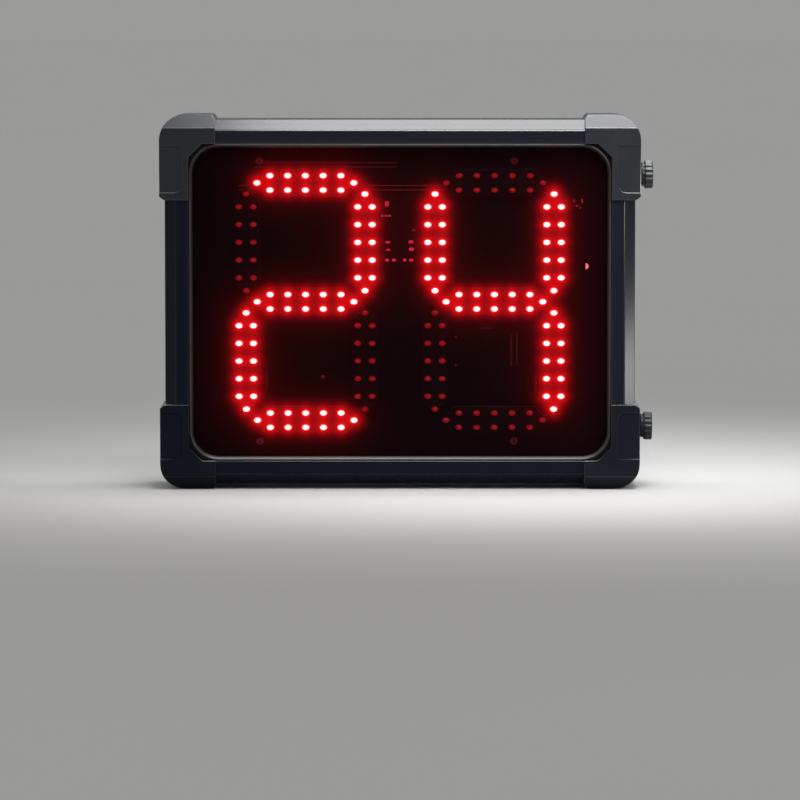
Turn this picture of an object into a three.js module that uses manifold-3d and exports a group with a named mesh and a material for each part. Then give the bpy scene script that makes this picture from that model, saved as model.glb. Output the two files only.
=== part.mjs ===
// Shot clock: a two-digit seven-segment lamp display behind a red filter, in an aluminium rail
// casing with four moulded corners and two thumb knobs on its right side.
// Millimetres, +Z up. The display faces -Y and the origin lies under the middle of the whole object.

import * as THREE from 'three';
import { mergeVertices } from 'three/addons/utils/BufferGeometryUtils.js';
import Module from 'manifold-3d';

const wasm = await Module();
wasm.setup();

// Casing
const casingWidth = 375;
const casingHeight = 293;
const casingDepth = 70;

// Fits shared by all pieces
const seatGap = 0.3;
const boreClearance = 0.3;
const cutOverrun = 2;
const sinkIn = 0.6;
const mergeTolerance = 0.0001;

// Aluminium rails
const railWall = 2;
const railFin = 1.6;
const railFace = 10.5;
const railChamferRise = 8.5;
const railChamferDepth = 10;

// Moulded corners
const cornerStandout = 3.7;
const cornerFaceStandout = 2.4;
const cornerLegWide = 43.6;
const cornerLegTall = 66.5;
const cornerRadius = 20;
const cornerChamferRise = 10.3;
const cornerChamferDepth = 9;
const cornerBlock = 24;
const cornerPocketWall = 1.6;
const cornerPocketDepth = 22;
const cornerMidRib = 4;
const cornerPassage = 6.4;
const cornerWebCut = 10.5;
const cornerLegSlant = 2.6;
const cornerArcSteps = 8;

// Square pads sunk into each corner's face
const padStart = 24.2;
const padWidth = 17;
const padHeight = 36.4;
const padDepth = 1;
const padRadius = 5.5;
const padArcSteps = 3;

// Filter and its gasket
const filterThickness = 3;
const filterGrip = 2.2;
const windowRadius = 20;
const windowArcSteps = 7;
const gasketFace = 3.4;
const gasketGrip = 4;
const gasketFrontLip = 2.2;
const gasketBackLip = 1.6;
const gasketCrownWidth = 0.9;
const gasketCrownSetback = 0.2;
const gasketEdgeSetback = 0.6;
const gasketLandHeight = 0.8;

// Display board
const boardThickness = 1.6;
const boardEdgeGap = 1.2;
const boardRadius = 3;
const boardFromFilter = 9.8;
const boardScrewFromLeft = 53.6;
const boardScrewFromRight = 74.1;
const boardScrewFromEnd = 12.6;
const screwHeadDiameter = 6;
const screwHeadHeight = 2.2;
const screwSlotWidth = 1.1;
const screwSlotDepth = 0.9;
const headSides = 14;
const standoffAcross = 6.4;
const socketHeight = 6;
const socketFromDigit = 15.1;
const socketDrop = 40;

// Digits
const digitSpacing = 147.8;
const segmentSpacing = 93;
const segmentLength = 85;
const segmentWidth = 21.5;
const holderThickness = 4;
const lampPitch = 13.87;
const lampRowSpacing = 11.3;
const lampEndReach = 37.8;
const lampColumns = 5;
const lampWidth = 5.8;
const lampHeight = 4.4;
const lampStandout = 3.2;
const lampSides = 6;
const lampShoulderShare = 0.62;
const lampShoulderScaleShare = 0.86;
const lampTipScaleShare = 0.4;

// Back panel
const backPanelThickness = 3;
const keyholeSpacing = 200;
const keyholeFromTop = 62;
const keyholeHeadDiameter = 9.6;
const keyholeSlotWidth = 5;
const keyholeSlotRise = 11;
const soundHoleDiameter = 3.4;
const soundHolePitch = 6.2;
const soundHolesInRing = 6;
const soundRings = 2;

// Thumb knobs
const knobFromEnd = 47.5;
const knobDiameter = 22;
const knobHeadLength = 6.7;
const knobSkirtLength = 2.3;
const knobSkirtDiameter = 18.6;
const knobFlutes = 16;
const knobFluteDepth = 0.8;
const knobPointsPerFlute = 3;
const knobRim = 0.9;
const knobDishDiameter = 13;
const knobDishDepth = 0.8;
const knobBoreDepth = 5.2;
const studDiameter = 6;
const studEngagement = 13;
const studPoint = 1;
const washerDiameter = 13;
const washerThickness = 1.3;
const bushDiameter = 10;
const bushFlangeDiameter = 14;
const bushFlangeThickness = 2;
const bushLength = 13;
const turnedSides = 20;
const smallSides = 8;

// Power inlet
const inletFromSide = 60.8;
const inletFromEnd = 29.3;
const inletFlangeWidth = 32;
const inletFlangeHeight = 25;
const inletFlangeThickness = 2;
const inletFlangeRadius = 3;
const inletBodyWidth = 28;
const inletBodyHeight = 20.6;
const inletBodyDepth = 19;
const inletWall = 1.8;
const inletKeyCut = 4.5;
const inletPinWidth = 4;
const inletPinThickness = 2;
const inletPinSetback = 5;
const inletPinSpacing = 14;
const inletPinDrop = 2.2;
const inletTabReach = 6;

// Rocker switch
const switchFromInlet = 42;
const switchFlangeWidth = 15;
const switchFlangeHeight = 21;
const switchBodyWidth = 13;
const switchBodyHeight = 19;
const switchBodyDepth = 15;
const switchTabSpacing = 9;
const switchWall = 1.3;
const rockerStandout = 1.1;
const rockerTilt = 9;
const rockerSinkDepth = 6.5;
const rockerBellyFromQuarter = 1.35;
const rockerBellyToQuarter = 2.65;
const rockerPlay = 0.45;
const rockerPinDiameter = 2.4;
const rockerPinReach = 0.9;
const rockerPinSetback = 3.4;

// Parts on the back panel, inside
const supplyFromSide = 76.8;
const supplyFromEnd = 69.3;
const supplyWidth = 98;
const supplyHeight = 62;
const supplyDepth = 28;
const supplyVentCount = 9;
const supplyVentWidth = 2.4;
const supplyVentDepth = 1.2;
const supplyVentLength = 40;
const supplyVentPitch = 7;
const terminalWidth = 12;
const terminalHeight = 44;
const terminalDepth = 14;
const terminalBays = 5;
const terminalWall = 1.4;
const terminalBayDepth = 7;
const controlFromSide = 79.8;
const controlFromEnd = 87.3;
const controlWidth = 96;
const controlHeight = 66;
const controlSpacerHeight = 9;
const controlSpacerDiameter = 6;
const controlSpacerInset = 5;
const processorSize = 14;
const processorHeight = 1.8;
const processorFromMiddle = 22;
const processorDrop = 14;
const relaySize = 17;
const relayHeight = 15;
const headerLength = 32;
const headerWidth = 8;
const headerHeight = 9;
const radioFromControl = 24;
const radioWidth = 30;
const radioHeight = 18;
const radioBoardThickness = 1.2;
const radioCanHeight = 2.6;
const radioCanInset = 2.4;
const radioPinHeight = 5;
const radioPinWidth = 2.4;
const buzzerFromSide = 52.8;
const buzzerFromEnd = 94.3;
const buzzerDiameter = 42;
const buzzerDepth = 20;
const buzzerRim = 2.4;
const buzzerThroatDiameter = 24;
const buzzerThroatDepth = 5;

// Leads held inside
const leadDiameter = 5;
const leadSteps = 14;
const leadStraight = 6;
const leadLift = 12;
const ribbonWidth = 20;
const ribbonThickness = 1.4;
const ribbonBow = 6;
const ribbonStraight = 3;

// Places worked out from the sizes above
const halfWidth = casingWidth / 2;
const halfDepth = casingDepth / 2;
const middleZ = casingHeight / 2;
const railDepth = casingDepth - 2 * cornerFaceStandout;
const railReach = railChamferRise + railFace;
const railFrontY = -railDepth / 2;
const railBackY = railDepth / 2;
const gasketThickness = gasketFrontLip + filterThickness + 2 * seatGap + gasketBackLip;
const frontSlotWidth = gasketThickness + 2 * seatGap;
const backSlotWidth = backPanelThickness + 2 * seatGap;
const slotFloor = railReach - gasketGrip - seatGap;
const openingHalfWidth = halfWidth - cornerStandout - railReach;
const openingHalfHeight = middleZ - cornerStandout - railReach;
const windowHalfWidth = openingHalfWidth - gasketFace;
const windowHalfHeight = openingHalfHeight - gasketFace;
const gasketFrontY = railFrontY + railWall + seatGap;
const filterFrontY = gasketFrontY + gasketFrontLip + seatGap;
const filterBackY = filterFrontY + filterThickness;
const boardFrontY = filterBackY + boardFromFilter;
const boardBackY = boardFrontY + boardThickness;
const holderBackY = boardFrontY - seatGap;
const holderFrontY = holderBackY - holderThickness;
const panelBackY = railBackY - railWall - seatGap;
const panelInnerY = panelBackY - backPanelThickness;
const shelfY = panelInnerY - seatGap;
const flangeSeatY = panelBackY + seatGap;
const boardHalfWidth = openingHalfWidth - boardEdgeGap;
const boardHalfHeight = openingHalfHeight - boardEdgeGap;
const openingTopZ = middleZ + openingHalfHeight;
const openingBottomZ = middleZ - openingHalfHeight;
const inletX = openingHalfWidth - inletFromSide;
const inletZ = openingBottomZ + inletFromEnd;
const switchX = inletX - switchFromInlet;
const switchZ = inletZ;
const supplyX = supplyFromSide - openingHalfWidth;
const supplyZ = openingBottomZ + supplyFromEnd;
const controlX = openingHalfWidth - controlFromSide;
const controlZ = openingBottomZ + controlFromEnd;
const radioX = controlX - radioFromControl;
const buzzerX = openingHalfWidth - buzzerFromSide;
const buzzerZ = openingTopZ - buzzerFromEnd;
const washerInnerX = halfWidth + seatGap;
const knobInnerX = washerInnerX + washerThickness + seatGap;
const knobSkirtEndX = knobInnerX + knobSkirtLength;
const knobOuterX = knobSkirtEndX + knobHeadLength;
const railOuterX = halfWidth - cornerStandout;
const bushFlangeX = railOuterX - railWall - seatGap;
const headerX = digitSpacing / 2 + socketFromDigit;
const headerZ = middleZ - socketDrop;
const controlBackY = shelfY - controlSpacerHeight;
const controlFrontY = controlBackY - boardThickness;

// Finishes
function finish(color, roughness, metalness) {
  return new THREE.MeshStandardMaterial({ color, roughness, metalness });
}

const finishes = {
  rail: () => finish(0x2a2d33, 0.42, 0.7),
  corner: () => finish(0x2b2d31, 0.55, 0),
  gasket: () => finish(0x3a3a3d, 0.4, 0),
  filter: () => {
    const pane = finish(0x2a0205, 0.08, 0);
    pane.transparent = true;
    pane.opacity = 0.6;
    return pane;
  },
  board: () => finish(0x0b0f0c, 0.6, 0),
  lampHolder: () => finish(0x7a0d10, 0.35, 0),
  panel: () => finish(0x1d1f22, 0.5, 0.3),
  knob: () => finish(0x1b1c1f, 0.45, 0),
  steel: () => finish(0x9a9ca0, 0.3, 1),
  brass: () => finish(0xb08d48, 0.35, 1),
  cage: () => finish(0xa6a9ad, 0.4, 0.9),
  blackPlastic: () => finish(0x17181a, 0.45, 0),
  circuit: () => finish(0x0f4a2a, 0.5, 0),
  cable: () => finish(0x101012, 0.6, 0),
  ribbon: () => finish(0x8c8f94, 0.6, 0),
};

// A closed mesh with shared corners and its faces pointing out
function closed(geometry) {
  const bare = new THREE.BufferGeometry();
  bare.setAttribute('position', geometry.getAttribute('position').clone());
  if (geometry.index) bare.setIndex(geometry.index.clone());
  const merged = mergeVertices(bare, mergeTolerance);
  const at = merged.getAttribute('position');
  const corners = Array.from(merged.index.array);
  const faces = [];
  let volume = 0;
  const [a, b, c] = [new THREE.Vector3(), new THREE.Vector3(), new THREE.Vector3()];
  for (let i = 0; i < corners.length; i += 3) {
    const face = corners.slice(i, i + 3);
    if (new Set(face).size < 3) continue;
    a.fromBufferAttribute(at, face[0]);
    b.fromBufferAttribute(at, face[1]);
    c.fromBufferAttribute(at, face[2]);
    volume += a.dot(b.cross(c));
    faces.push(face);
  }
  merged.setIndex(faces.flatMap(([p, q, r]) => (volume < 0 ? [p, r, q] : [p, q, r])));
  return merged;
}

// A solid ready for cutting and joining
function solid(geometry) {
  const mesh = closed(geometry);
  return new wasm.Manifold(
    new wasm.Mesh({
      numProp: 3,
      vertProperties: new Float32Array(mesh.getAttribute('position').array),
      triVerts: new Uint32Array(mesh.index.array),
    }),
  );
}

function geometryOf(body) {
  const mesh = body.getMesh();
  const geometry = new THREE.BufferGeometry();
  geometry.setAttribute('position', new THREE.BufferAttribute(mesh.vertProperties, 3));
  geometry.setIndex(new THREE.BufferAttribute(mesh.triVerts, 1));
  geometry.computeVertexNormals();
  return geometry;
}

function joined(bodies) {
  return bodies.reduce((whole, body) => whole.add(body));
}

function cutBy(body, tools) {
  return tools.reduce((left, tool) => left.subtract(tool), body);
}

// Directions that turn a flat outline and its extrusion onto the row axes
const axisX = new THREE.Vector3(1, 0, 0);
const axisY = new THREE.Vector3(0, 1, 0);
const axisZ = new THREE.Vector3(0, 0, 1);
const bases = {
  x: new THREE.Matrix4().makeBasis(axisY, axisZ, axisX),
  y: new THREE.Matrix4().makeBasis(axisZ, axisX, axisY),
  z: new THREE.Matrix4().makeBasis(axisX, axisY, axisZ),
};

// Outlines are [x, z] for an extrusion along Y, [y, z] along X and [x, y] along Z
function outlineShape(axis, outline) {
  const points = outline.map(([p, q]) => (axis === 'y' ? [q, p] : [p, q]));
  return new THREE.Shape(points.map(([p, q]) => new THREE.Vector2(p, q)));
}

function extruded(axis, outline, from, to, holes = []) {
  const shape = outlineShape(axis, outline);
  shape.holes = holes.map((hole) => outlineShape(axis, hole));
  const geometry = new THREE.ExtrudeGeometry(shape, { depth: to - from, bevelEnabled: false });
  geometry.translate(0, 0, from);
  geometry.applyMatrix4(bases[axis]);
  return geometry;
}

function block(x, y, z) {
  const geometry = new THREE.BoxGeometry(x[1] - x[0], y[1] - y[0], z[1] - z[0]);
  geometry.translate((x[0] + x[1]) / 2, (y[0] + y[1]) / 2, (z[0] + z[1]) / 2);
  return geometry;
}

function span(middle, size) {
  return [middle - size / 2, middle + size / 2];
}

function ordered(p, q) {
  return [Math.min(p, q), Math.max(p, q)];
}

// Points of an arc, from one angle to another in quarter turns
function arc(cx, cz, radius, fromQuarter, toQuarter, steps) {
  return Array.from({ length: steps + 1 }, (_, i) => {
    const angle = ((fromQuarter + ((toQuarter - fromQuarter) * i) / steps) * Math.PI) / 2;
    return [cx + radius * Math.cos(angle), cz + radius * Math.sin(angle)];
  });
}

function circle(cx, cz, radius, sides = turnedSides) {
  return arc(cx, cz, radius, 0, 4, sides).slice(0, sides);
}

function rectangle(cx, cz, halfWide, halfHigh, radius = 0, steps = padArcSteps) {
  const [x, z] = [halfWide - radius, halfHigh - radius];
  if (!radius) return [[cx + x, cz + z], [cx - x, cz + z], [cx - x, cz - z], [cx + x, cz - z]];
  return [
    ...arc(cx + x, cz + z, radius, 0, 1, steps),
    ...arc(cx - x, cz + z, radius, 1, 2, steps),
    ...arc(cx - x, cz - z, radius, 2, 3, steps),
    ...arc(cx + x, cz - z, radius, 3, 4, steps),
  ];
}

// A turned piece: its profile is [along, radius], from the axis to the axis or closed on itself
function turned(axis, centre, profile, sides = turnedSides) {
  const points = profile.map(([along, radius]) => new THREE.Vector2(radius, along));
  const geometry = new THREE.LatheGeometry(points, sides);
  if (axis === 'x') geometry.rotateZ(-Math.PI / 2);
  if (axis === 'z') geometry.rotateX(Math.PI / 2);
  geometry.translate(...centre);
  return geometry;
}

function turnedRing(axis, centre, from, to, inner, outer, sides = turnedSides) {
  const profile = [[from, inner], [from, outer], [to, outer], [to, inner], [from, inner]];
  return turned(axis, centre, profile, sides);
}

// A section of [outward offset, y] points carried round the rounded window outline
function roundWindow(section) {
  const path = rectangle(0, middleZ, windowHalfWidth, windowHalfHeight, windowRadius, windowArcSteps);
  const centres = [[1, 1], [-1, 1], [-1, -1], [1, -1]].flatMap(([sx, sz]) =>
    Array.from({ length: windowArcSteps + 1 }, () => [
      sx * (windowHalfWidth - windowRadius),
      middleZ + sz * (windowHalfHeight - windowRadius),
    ]),
  );
  const positions = [];
  const faces = [];
  path.forEach(([x, z], i) => {
    const [cx, cz] = centres[i];
    section.forEach(([offset, y]) => {
      const share = (windowRadius + offset) / windowRadius;
      positions.push(cx + (x - cx) * share, y, cz + (z - cz) * share);
    });
    section.forEach((_, j) => {
      const nextRing = ((i + 1) % path.length) * section.length;
      const nextPoint = (j + 1) % section.length;
      const here = i * section.length;
      faces.push(here + j, nextRing + j, nextRing + nextPoint);
      faces.push(here + j, nextRing + nextPoint, here + nextPoint);
    });
  });
  const geometry = new THREE.BufferGeometry();
  geometry.setAttribute('position', new THREE.Float32BufferAttribute(positions, 3));
  geometry.setIndex(faces);
  return geometry;
}

// A section of [across, up] points carried along a smooth curve through the given points
function carried(section, points) {
  const route = points.map((point) => new THREE.Vector3(...point));
  const extrudePath = new THREE.CatmullRomCurve3(route, false, 'centripetal');
  const shape = outlineShape('z', section);
  return new THREE.ExtrudeGeometry(shape, { steps: leadSteps, extrudePath, bevelEnabled: false });
}

function lead(points) {
  return carried(circle(0, 0, leadDiameter / 2, smallSides), points);
}

const clock = new THREE.Group();
clock.position.x = -(knobOuterX - halfWidth) / 2;

function place(name, geometry, material) {
  const mesh = new THREE.Mesh(closed(geometry), material());
  mesh.name = name;
  mesh.geometry.computeVertexNormals();
  clock.add(mesh);
}

function placeSolid(name, body, material) {
  const mesh = new THREE.Mesh(geometryOf(body), material());
  mesh.name = name;
  clock.add(mesh);
}

// One half of the rail section, [inward, depth] from the outer face and from one of its flats
const chamferLength = Math.hypot(railChamferRise, railChamferDepth);
const chamferSkew = (railWall * chamferLength) / railChamferDepth;
const innerChamferEnd = railChamferDepth * (1 + (chamferSkew - railWall) / railChamferRise);

function insideChamfer(depth) {
  return Math.max(railWall, railChamferRise * (1 - depth / railChamferDepth) + chamferSkew);
}

function railHalf(slotWidth) {
  const slotEnd = railWall + slotWidth;
  const finEnd = slotEnd + railFin;
  const half = [
    [0, railChamferDepth],
    [railChamferRise, 0],
    [railReach, 0],
    [railReach, railWall],
    [slotFloor, railWall],
    [slotFloor, slotEnd],
    [railReach, slotEnd],
    [railReach, finEnd],
    [insideChamfer(finEnd), finEnd],
  ];
  if (finEnd < innerChamferEnd) half.push([railWall, innerChamferEnd]);
  return half;
}

// The hollow chamber between the chamfer, the flat and the slot
function railChamber(slotWidth) {
  const bottom = railWall + slotWidth;
  const chamber = [
    [slotFloor - railWall, railWall],
    [slotFloor - railWall, bottom],
    [insideChamfer(bottom), bottom],
  ];
  if (bottom > innerChamferEnd) chamber.push([railWall, innerChamferEnd]);
  chamber.push([insideChamfer(railWall), railWall]);
  return chamber;
}

function fromFront([inward, depth]) {
  return [inward, railFrontY + depth];
}

function fromBack([inward, depth]) {
  return [inward, railBackY - depth];
}

// A rail of the given length, its outer face on a plane and its section pointing inward
function rail(length, inward, outerPlane) {
  const outline = [
    ...railHalf(frontSlotWidth).map(fromFront),
    ...railHalf(backSlotWidth).map(fromBack).reverse(),
  ];
  const shape = outlineShape('z', outline);
  shape.holes = [
    outlineShape('z', railChamber(frontSlotWidth).map(fromFront)),
    outlineShape('z', railChamber(backSlotWidth).map(fromBack)),
  ];
  const geometry = new THREE.ExtrudeGeometry(shape, { depth: length, bevelEnabled: false });
  geometry.translate(0, 0, -length / 2);
  const along = new THREE.Vector3().crossVectors(inward, axisY);
  geometry.applyMatrix4(new THREE.Matrix4().makeBasis(inward, axisY, along));
  geometry.translate(outerPlane.x, 0, outerPlane.z);
  return geometry;
}

function buildRails() {
  const wide = casingWidth - 2 * (cornerBlock + seatGap);
  const tall = casingHeight - 2 * (cornerBlock + seatGap);
  const topPlane = new THREE.Vector3(0, 0, casingHeight - cornerStandout);
  const bottomPlane = new THREE.Vector3(0, 0, cornerStandout);
  const leftPlane = new THREE.Vector3(-railOuterX, 0, middleZ);
  const rightPlane = new THREE.Vector3(railOuterX, 0, middleZ);
  place('top_rail', rail(wide, axisZ.clone().negate(), topPlane), finishes.rail);
  place('bottom_rail', rail(wide, axisZ, bottomPlane), finishes.rail);
  place('left_rail', rail(tall, axisX, leftPlane), finishes.rail);
  const boreEnds = [railOuterX - railWall - cutOverrun, railOuterX + cutOverrun];
  const boreRadius = bushDiameter / 2 + boreClearance;
  const bushBores = knobHeights().map((z) => solid(extruded('x', circle(0, z, boreRadius), ...boreEnds)));
  const right = solid(rail(tall, axisX.clone().negate(), rightPlane));
  placeSolid('right_rail', cutBy(right, bushBores), finishes.rail);
}

// Corner outlines are given as [from the side edge, from the top or bottom edge]
function cornerPoints(sideSign, endSign, outline) {
  return outline.map(([fromSide, fromEnd]) => [
    sideSign * (halfWidth - fromSide),
    middleZ + endSign * (middleZ - fromEnd),
  ]);
}

const cornerInner = cornerStandout + railReach;
const roundOuterCorner = arc(cornerRadius, cornerRadius, cornerRadius, 2, 3, cornerArcSteps);

function cornerOutline() {
  return [
    ...roundOuterCorner,
    [cornerLegWide - cornerLegSlant, 0],
    [cornerLegWide, cornerStandout],
    [cornerLegWide, cornerInner],
    [cornerInner + cornerWebCut, cornerInner],
    [cornerInner, cornerInner + cornerWebCut],
    [cornerInner, cornerLegTall],
    [cornerStandout, cornerLegTall],
    [0, cornerLegTall - cornerLegSlant],
  ];
}

// The hollow block behind the rounded corner, in which both rails stop
function cornerPocket() {
  const floor = cornerBlock - cornerPocketWall;
  return [
    ...arc(cornerRadius, cornerRadius, cornerRadius - cornerStandout, 2, 3, cornerArcSteps),
    [floor, cornerStandout],
    [floor, floor],
    [cornerStandout, floor],
  ];
}

// The rail's outer envelope as [inward, y], with room to slide in
function railEnvelope(reach) {
  const skew = (seatGap * (chamferLength - railChamferDepth)) / railChamferRise;
  const [front, back] = [railFrontY - seatGap, railBackY + seatGap];
  return [
    [-seatGap, railFrontY + railChamferDepth - skew],
    [railChamferRise - skew, front],
    [reach, front],
    [reach, back],
    [railChamferRise - skew, back],
    [-seatGap, railBackY - railChamferDepth + skew],
  ];
}

function sideSocket(sideSign, endSign) {
  const outline = railEnvelope(railReach + cutOverrun).map(([inward, y]) => [
    sideSign * (railOuterX - inward), y,
  ]);
  const ends = [cornerBlock, cornerLegTall + cutOverrun].map((b) => middleZ + endSign * (middleZ - b));
  return solid(extruded('z', outline, ...ordered(...ends)));
}

function endSocket(sideSign, endSign) {
  const outline = railEnvelope(railReach + cutOverrun).map(([inward, y]) => [
    y, middleZ + endSign * (middleZ - cornerStandout - inward),
  ]);
  const ends = [cornerBlock, cornerLegWide + cutOverrun].map((a) => sideSign * (halfWidth - a));
  return solid(extruded('x', outline, ...ordered(...ends)));
}

// The bevel along the top or bottom edge, on the front and on the back
function cornerChamfer(sideSign, endSign, face) {
  const edge = middleZ + endSign * middleZ;
  const over = cutOverrun * endSign;
  const outline = [
    [face * (halfDepth + cutOverrun), edge + over],
    [face * (halfDepth + cutOverrun), edge - endSign * cornerChamferRise],
    [face * halfDepth, edge - endSign * cornerChamferRise],
    [face * (halfDepth - cornerChamferDepth), edge],
    [face * (halfDepth - cornerChamferDepth), edge + over],
  ];
  const ends = [-cutOverrun, cornerLegWide + cutOverrun].map((a) => sideSign * (halfWidth - a));
  return solid(extruded('x', outline, ...ordered(...ends)));
}

function padOutline() {
  return [
    [-cutOverrun, padStart],
    [padWidth, padStart],
    ...arc(padWidth - padRadius, padStart + padHeight - padRadius, padRadius, 0, 1, padArcSteps),
    [-cutOverrun, padStart + padHeight],
  ];
}

function corner(sideSign, endSign, withKnob) {
  const points = (outline) => cornerPoints(sideSign, endSign, outline);
  const body = solid(extruded('y', points(cornerOutline()), -halfDepth, halfDepth));
  const roomEnd = cornerLegTall + cutOverrun;
  const [[nearX, nearZ], [farX, farZ]] = points([[cornerBlock, cornerBlock], [roomEnd, roomEnd]]);
  const passage = points(rectangle(cornerBlock, cornerBlock, cornerPassage / 2, cornerPassage / 2));
  const ribHalf = cornerMidRib / 2;
  const pocketEnd = ribHalf + cornerPocketDepth;
  const tools = [
    sideSocket(sideSign, endSign),
    endSocket(sideSign, endSign),
    solid(block(ordered(nearX, farX), [railFrontY - seatGap, railBackY + seatGap], ordered(nearZ, farZ))),
    cornerChamfer(sideSign, endSign, -1),
    cornerChamfer(sideSign, endSign, 1),
    ...[-1, 1].flatMap((face) => {
      const pocketEnds = ordered(face * ribHalf, face * pocketEnd);
      const padEnds = ordered(face * (halfDepth - padDepth), face * (halfDepth + cutOverrun));
      return [
        solid(extruded('y', points(cornerPocket()), ...pocketEnds)),
        solid(extruded('y', passage, ...pocketEnds)),
        solid(extruded('y', points(padOutline()), ...padEnds)),
      ];
    }),
  ];
  if (withKnob) {
    const z = middleZ + endSign * (middleZ - knobFromEnd);
    const bore = circle(0, z, studDiameter / 2 + boreClearance);
    tools.push(solid(extruded('x', bore, railOuterX - cutOverrun, halfWidth + cutOverrun)));
  }
  return cutBy(body, tools);
}

function buildCorners() {
  placeSolid('top_left_corner', corner(-1, 1, false), finishes.corner);
  placeSolid('top_right_corner', corner(1, 1, true), finishes.corner);
  placeSolid('bottom_left_corner', corner(-1, -1, false), finishes.corner);
  placeSolid('bottom_right_corner', corner(1, -1, true), finishes.corner);
}

// The gasket hugs the filter's edge, sits in the rails' slot and shows a sloped face in the window
function buildFilter() {
  const back = gasketFrontY + gasketThickness;
  const grooveFront = gasketFrontY + gasketFrontLip;
  const grooveBack = back - gasketBackLip;
  const grooveFloor = filterGrip + seatGap;
  const outer = gasketFace + gasketGrip;
  const crown = gasketFace - seatGap;
  const section = [
    [outer, gasketFrontY],
    [crown, gasketFrontY],
    [crown, railFrontY + gasketEdgeSetback],
    [crown - gasketCrownWidth, railFrontY + gasketCrownSetback],
    [0, grooveFront - gasketLandHeight],
    [0, grooveFront],
    [grooveFloor, grooveFront],
    [grooveFloor, grooveBack],
    [0, grooveBack],
    [0, back],
    [outer, back],
  ];
  place('filter_gasket', roundWindow(section), finishes.gasket);
  const pane = rectangle(0, middleZ, windowHalfWidth + filterGrip, windowHalfHeight + filterGrip,
    windowRadius + filterGrip, windowArcSteps);
  place('front_filter', extruded('y', pane, filterFrontY, filterBackY), finishes.filter);
}

function boardCorners() {
  const left = boardScrewFromLeft - boardHalfWidth;
  const right = boardHalfWidth - boardScrewFromRight;
  const rise = boardHalfHeight - boardScrewFromEnd;
  return [[left, rise], [right, rise], [left, -rise], [right, -rise]].map(([x, z]) => [x, middleZ + z]);
}

// The display board with its four screws and, on its back, the socket of the flat cable
function buildDisplayBoard() {
  const outline = rectangle(0, middleZ, boardHalfWidth, boardHalfHeight, boardRadius);
  const plate = solid(extruded('y', outline, boardFrontY, boardBackY));
  const headFrontY = boardFrontY - screwHeadHeight;
  const slotY = [headFrontY - cutOverrun, headFrontY + screwSlotDepth];
  const heads = boardCorners().map(([x, z]) => {
    const round = circle(x, z, screwHeadDiameter / 2, headSides);
    const head = solid(extruded('y', round, headFrontY, boardFrontY + sinkIn));
    const slot = block(span(x, screwHeadDiameter + cutOverrun), slotY, span(z, screwSlotWidth));
    return head.subtract(solid(slot));
  });
  const socketY = [boardBackY - sinkIn, boardBackY + socketHeight];
  const socket = solid(block(span(headerX, headerWidth), socketY, span(headerZ, headerLength)));
  placeSolid('display_board', joined([plate, ...heads, socket]), finishes.board);
  const names = ['top_left', 'top_right', 'bottom_left', 'bottom_right'];
  boardCorners().forEach(([x, z], i) => {
    const hexagon = circle(x, z, standoffAcross / Math.sqrt(3), 6);
    const pillar = extruded('y', hexagon, boardBackY + seatGap, shelfY);
    place(`${names[i]}_board_standoff`, pillar, finishes.brass);
  });
}

// An oval lamp lens whose foot sinks into its holder
function lampLens(x, z) {
  const rings = [
    [1, sinkIn],
    [1, 0],
    [lampShoulderScaleShare, -lampStandout * lampShoulderShare],
    [lampTipScaleShare, -lampStandout],
  ];
  const positions = [];
  rings.forEach(([scale, depth]) => {
    circle(0, 0, 1, lampSides).forEach(([p, q]) => {
      const [across, up] = [(p * scale * lampWidth) / 2, (q * scale * lampHeight) / 2];
      positions.push(x + across, holderFrontY + depth, z + up);
    });
  });
  const faces = [];
  for (let ring = 0; ring < rings.length - 1; ring++) {
    for (let i = 0; i < lampSides; i++) {
      const [a, b] = [ring * lampSides + i, ring * lampSides + ((i + 1) % lampSides)];
      faces.push(a, b, b + lampSides, a, b + lampSides, a + lampSides);
    }
  }
  const last = (rings.length - 1) * lampSides;
  for (let i = 1; i < lampSides - 1; i++) {
    faces.push(0, i + 1, i);
    faces.push(last, last + i, last + i + 1);
  }
  const geometry = new THREE.BufferGeometry();
  geometry.setAttribute('position', new THREE.Float32BufferAttribute(positions, 3));
  geometry.setIndex(faces);
  return solid(geometry);
}

// Lamp places in one segment, [along, across]: two rows and one lamp in each pointed end
function lampPlaces() {
  const places = [[-lampEndReach, 0], [lampEndReach, 0]];
  for (let column = 0; column < lampColumns; column++) {
    const along = (column - (lampColumns - 1) / 2) * lampPitch;
    places.push([along, -lampRowSpacing / 2], [along, lampRowSpacing / 2]);
  }
  return places;
}

function segment(cx, cz, upright) {
  const turn = ([along, across]) => (upright ? [cx + across, cz + along] : [cx + along, cz + across]);
  const tip = segmentLength / 2;
  const side = segmentWidth / 2;
  const rightEnd = [[tip - side, -side], [tip, 0], [tip - side, side]];
  const outline = [...rightEnd, ...rightEnd.map(([along, across]) => [-along, -across])];
  const holder = solid(extruded('y', outline.map(turn), holderFrontY, holderBackY));
  return joined([holder, ...lampPlaces().map(turn).map(([x, z]) => lampLens(x, z))]);
}

function buildDigits() {
  const half = segmentSpacing / 2;
  const segments = {
    a: [0, 2 * half, false],
    b: [half, half, true],
    c: [half, -half, true],
    d: [0, -2 * half, false],
    e: [-half, -half, true],
    f: [-half, half, true],
    g: [0, 0, false],
  };
  for (const [side, sign] of [['left', -1], ['right', 1]]) {
    for (const [letter, [dx, dz, upright]] of Object.entries(segments)) {
      const body = segment((sign * digitSpacing) / 2 + dx, middleZ + dz, upright);
      placeSolid(`${side}_digit_segment_${letter}`, body, finishes.lampHolder);
    }
  }
}

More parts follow.
